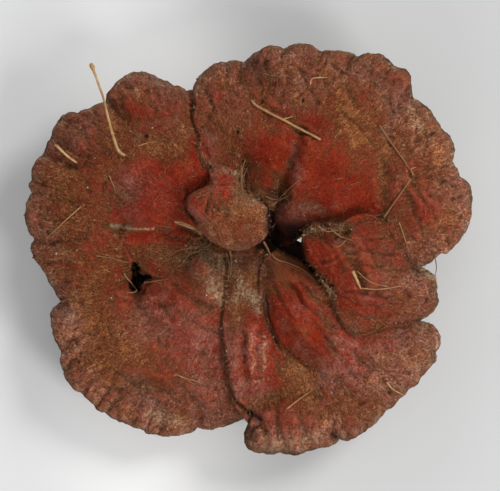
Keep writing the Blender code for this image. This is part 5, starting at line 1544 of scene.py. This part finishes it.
# Where more of it sticks: line in pixels, half width in mm, weight.
FUZZY = in_mm([
    ((268, 252), (300, 270), (330, 290), 5, 3), ((184, 262), (204, 252), 4.5, 1.8),
    ((306, 228), (345, 228), 4.5, 0.9), ((128, 270), (150, 285), 6, 0.8), ((150, 256), (205, 246), 5, 2.2),
    ((240, 165), (247, 195), 6, 2), ((232, 262), (262, 310), 6, 0.5), ((60, 230), (100, 255), 12, 0.8),
    ((120, 150), (160, 140), 9, 1), ((260, 195), (285, 200), 6, 1.1), ((170, 372), (200, 382), 9, 1),
    ((260, 108), (320, 120), 12, 0.8), ((405, 150), (425, 140), 9, 1), ((285, 365), (310, 390), 9, 1.2),
    ((335, 290), (360, 320), 7, 1), ((405, 176), (412, 190), 5, 2),
])
scatter_maker = np.random.default_rng(29)
HAIRS, CRUMBS = 2100, 2600
HAIR_STATIONS = 6


def scattered(count, least):
    """Random places on the skins, more of them where it is dusty or fuzzy."""
    tries = scatter_maker.integers(0, len(ground_points), count * 6)
    x, y, _, dust = ground_points[tries].T
    weight = least + 0.5 * dust + strokes(FUZZY, x, y)
    chosen = tries[scatter_maker.random(len(tries)) < weight / 3.0][:count]
    shift = scatter_maker.uniform(-0.4, 0.4, (len(chosen), 2))
    return ground_points[chosen, :2] + shift


def hairs(count):
    """Three-sided bent strands that follow the ground, closed at both ends."""
    start = scattered(count, 0.12)
    count = len(start)
    turn = scatter_maker.uniform(0, math.tau, count)
    length = 1.8 + scatter_maker.gamma(2.0, 1.5, count)
    bend = scatter_maker.normal(0, 0.28, count) * length
    f = np.linspace(-0.5, 0.5, HAIR_STATIONS)[None]
    ahead = np.stack([np.cos(turn), np.sin(turn)], -1)[:, None]
    side = np.stack([-np.sin(turn), np.cos(turn)], -1)[:, None]
    plan = start[:, None] + ahead * (f * length[:, None])[..., None]
    plan = plan + side * ((f**2 - 0.1) * bend[:, None])[..., None]
    z = ground(plan[..., 0], plan[..., 1])
    kept = z.min(1) > 0
    plan, z, side = plan[kept], z[kept], side[kept]
    lift = 0.1 + scatter_maker.gamma(1.0, 0.22, len(z))[:, None] * (1 - 4 * f**2)
    path = np.dstack([plan, np.maximum(z, z.mean(1, keepdims=True) - 0.4) + lift])
    radius = scatter_maker.uniform(0.07, 0.16, len(z))[:, None, None] * (1.05 - np.abs(f) * 1.2)[..., None]
    corner = np.array([90.0, 210.0, 330.0])[None, None, :, None] * math.pi / 180
    across = np.concatenate([side, np.zeros((len(side), 1, 1))], -1)[:, :, None]
    ring = across * np.cos(corner) + np.array([0, 0, 1.0]) * np.sin(corner)
    points = path[:, :, None] + ring * radius[..., None]
    index = np.arange(points[..., 0].size).reshape(points.shape[:3])
    after = np.roll(index, -1, 2)
    quads = np.stack([index[:, :-1], index[:, 1:], after[:, 1:], after[:, :-1]], -1).reshape(-1, 4)
    ends = np.concatenate([index[:, 0], index[:, -1, ::-1]])
    shade = np.repeat(scatter_maker.random(len(z)), HAIR_STATIONS * 3)
    return points.reshape(-1, 3), quads.tolist() + ends.tolist(), {"shade": shade}


def crumbs(count):
    """Lumps of soil: a ball of 14 points each, squashed and turned at random and half sunk in."""
    start = scattered(count, 0.1)
    z = ground(start[:, 0], start[:, 1])
    start, z = start[z > 0], z[z > 0]
    n = len(start)
    corner = np.array([(a, b, c) for a in (-1, 1) for b in (-1, 1) for c in (-1, 1)]) / math.sqrt(3)
    axis = np.array([(1, 0, 0), (-1, 0, 0), (0, 1, 0), (0, -1, 0), (0, 0, 1), (0, 0, -1)])
    ball = np.vstack([corner, axis])
    faces = []
    # A cube with a point over each side: four triangles run round from its corners to that point.
    for k, pole in enumerate(axis):
        near = [c for c in range(8) if corner[c] @ pole > 0.5]
        u, v = axis[(k + 2) % 6], np.cross(pole, axis[(k + 2) % 6])
        near.sort(key=lambda c: math.atan2(corner[c] @ v, corner[c] @ u))
        faces += [(8 + k, a, b) for a, b in zip(near, near[1:] + near[:1])]
    size = 0.16 + scatter_maker.gamma(1.6, 0.15, (n, 1, 1))
    shape = ball[None] * scatter_maker.uniform(0.7, 1.25, (n, 14, 1))
    shape = shape * scatter_maker.uniform(0.7, 1.3, (n, 1, 3))
    turn = scatter_maker.uniform(0, math.tau, n)
    c, s = np.cos(turn)[:, None], np.sin(turn)[:, None]
    a, b = shape[..., 0], shape[..., 1]
    shape = np.dstack([a * c - b * s, a * s + b * c, shape[..., 2]])
    points = shape * size + np.column_stack([start, z])[:, None]
    all_faces = np.array(faces)[None] + 14 * np.arange(n)[:, None, None]
    shade = np.repeat(scatter_maker.random(n), 14)
    return points.reshape(-1, 3), all_faces.reshape(-1, 3).tolist(), {"shade": shade}


BLEACHED = (0.42, 0.32, 0.22)


def litter_finish(name, dark, light, bleached=0.0):
    """A colour for each piece between dark and light, and some patches of them bleached."""
    board = Board(name)
    grain = board.noise(0.8, 3.0)
    colour = board.mix(board.fact("shade"), dark, light)
    colour = board.mix(board.between(grain, 0.5, 0.35) * 0.6, colour, dark)
    colour = board.mix(board.between(board.noise(5.0, 2.0), 0.60, 0.68) * bleached, colour, BLEACHED)
    return board.finish(colour, 0.8 + (grain - 0.5) * 0.2, [], {"Specular IOR Level": 0.2})


HAIR_FINISH = ("root_hair", (0.11, 0.05, 0.02), (0.40, 0.23, 0.10))
CRUMB_FINISH = ("soil_crumb", (0.045, 0.018, 0.010), (0.24, 0.115, 0.055), 0.8)
litter = {
    "root_hairs": finished_mesh("root_hairs", *hairs(HAIRS), litter_finish(*HAIR_FINISH)),
    "soil_crumbs": finished_mesh("soil_crumbs", *crumbs(CRUMBS), litter_finish(*CRUMB_FINISH)),
}
for name, piece in litter.items():
    print(name, len(piece.data.polygons), "faces")

# %% [markdown]
# ## Everything rides on the one body
#
# Nothing on a mushroom moves, so every piece rides on the root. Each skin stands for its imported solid.

# %% Ride and replace
for name, piece in {**skins, **stalks}.items():
    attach(piece, "root")
    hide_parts(name)
    "reishi_stem" if name == "stem" else "grass_straw" if name in stalks else "reishi_cap"
for piece in (thin, *litter.values()):
    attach(piece, "root")
print("pieces:", len(skins) + len(stalks) + 1 + len(litter))

# %% [markdown]
# ## Table
#
# The mushroom lies on a sheet of pale paper. One plain colour would do for a studio shot. Here the paper
# is a little paler towards the left and the near side, and much paler in two places, as it is in the
# photograph. This is painted light: paler paper where the lamps cast shadow, darker where they shine.

# %% Table
FLOOR_Z, FLOOR_HALF = -0.0004, 3.0
PAPER = ((0.412, 0.414, 0.417), (0.520, 0.522, 0.526))
# Painted light: the paler places, above and below the left caps, where the lamps cast shadow, on the floor in
# metres.
PAINTED_LIGHT_PLACES, PAINTED_LIGHT_GREY = [(-0.068, 0.124, FLOOR_Z), (-0.062, -0.122, FLOOR_Z)], (0.77, 0.77, 0.77)


def table():
    """A square sheet under the stem's foot."""
    mesh = bpy.data.meshes.new("table")
    signs = [(-1, -1), (1, -1), (1, 1), (-1, 1)]
    mesh.from_pydata([(a * FLOOR_HALF, b * FLOOR_HALF, FLOOR_Z) for a, b in signs], [], [(0, 1, 2, 3)])
    board = Board("pale_table")
    raw = board.raw()
    # Painted light: the paper is paler towards the left and the near side, to even out the lamps' light and
    # shadow.
    left = board.between(board.node("ShaderNodeSeparateXYZ", {}, {0: raw}, 0), 0.19, -0.19)
    near = board.between(board.node("ShaderNodeSeparateXYZ", {}, {0: raw}, 1), 0.16, -0.18)
    colour = board.mix(near * 0.3 + left * 0.7, *PAPER)
    # Painted light: two pale pools where the caps' shadows fall.
    for centre in PAINTED_LIGHT_PLACES:
        away = board.vector("DISTANCE", raw, centre, output=1)
        colour = board.mix(board.between(away, 0.098, 0.012) * 0.78, colour, PAINTED_LIGHT_GREY)
    mesh.materials.append(board.finish(colour, 0.55, [], {}))
    return placed("table", mesh)


table()
print("table at", round(FLOOR_Z * 1000, 1), "mm")

# %% [markdown]
# ## Light
#
# The shadows in the photograph are soft and fall to the left, so daylight came from the right, through
# more than one window. A sky picture could light the scene, but two large lamps and two that stand for
# bright walls are easier to move, and a dim world fills in the rest.

# %% Light


def area_light(name, place, target, size, power, colour):
    """A soft oval light that faces a target; its size is its height and its width."""
    light = bpy.data.lights.new(name, "AREA")
    light.shape, light.energy, light.color = "ELLIPSE", power, colour
    light.size, light.size_y = size
    away = np.array(place) - np.array(target)
    turn = (0.0, math.acos(away[2] / np.linalg.norm(away)), math.atan2(away[1], away[0]))
    placed(name, light, place).rotation_euler = turn


# name, place and target in metres, size, power in watts, colour
LAMPS = [
    ("far_window", (3.0, 2.3, 3.0), (0.0, 0.0, 0.05), (1.8, 1.8), 166.0, (1.0, 0.99, 0.97)),
    ("near_window", (3.0, -2.5, 3.0), (0.0, 0.0, 0.05), (1.8, 1.8), 158.0, (1.0, 0.99, 0.97)),
    ("near_wall", (-0.5, -2.2, 1.0), (-0.05, -0.1, 0.0), (1.2, 1.8), 28.0, (1.0, 0.99, 0.98)),
    ("far_wall", (-0.7, 2.0, 0.9), (-0.05, 0.1, 0.0), (1.2, 1.8), 26.0, (0.98, 0.99, 1.0)),
]
for lamp in LAMPS:
    area_light(*lamp)
# Daylight that gets in below the caps makes the table shine white through the hole beside the stem.
UNDER_LIGHT, HOLE = {"energy": 0.018, "spot_size": math.radians(30), "spot_blend": 0.5,
                     "shadow_soft_size": 0.002}, (0.037, 0.0105, 0.022)
glow = bpy.data.lights.new("under_light", "SPOT")
for key, value in UNDER_LIGHT.items():
    setattr(glow, key, value)
placed("under_light", glow, HOLE)
world = bpy.data.worlds.new("soft_room")
world.use_nodes = True
sky = world.node_tree.nodes["Background"].inputs
sky["Color"].default_value, sky["Strength"].default_value = (0.97, 0.98, 1.0, 1.0), 0.40
bpy.context.scene.world = world
bpy.context.scene.view_settings.view_transform = "Standard"
print("lamps:", len(LAMPS) + 1)

# %% [markdown]
# ## Camera
#
# The photograph was taken from straight above, and the caps show no perspective to speak of. A camera
# without any would do, but a long lens from far up also lets the raised stalks lean outwards a little,
# as they do in the photograph. Its lens follows from the scale of the caps in the picture.

# %% Camera
CAMERA_HEIGHT = 1.9     # metres
CAP_LEVEL = 0.055       # where the scale holds
SENSOR = 36.0
# The margins are rounded off, so the picture is taken a touch closer, and a little up and to the right.
CLOSER = 1.0080
NUDGE = (0.7, -0.6)


def camera():
    """Looks straight down at the middle of the photograph's frame, at its scale on the caps."""
    data = bpy.data.cameras.new("camera")
    data.sensor_width = SENSOR
    data.lens = CLOSER * SENSOR * (CAMERA_HEIGHT - CAP_LEVEL) / (IMAGE[0] * MM_PER_PIXEL * MM)
    data.clip_end = 20.0
    x, y = on_plan((IMAGE[0] / 2 + NUDGE[0], IMAGE[1] / 2 + NUDGE[1])) * MM
    bpy.context.scene.camera = placed("camera", data, (x, y, CAMERA_HEIGHT))
    return data.lens


print("lens", round(camera(), 1), "mm")
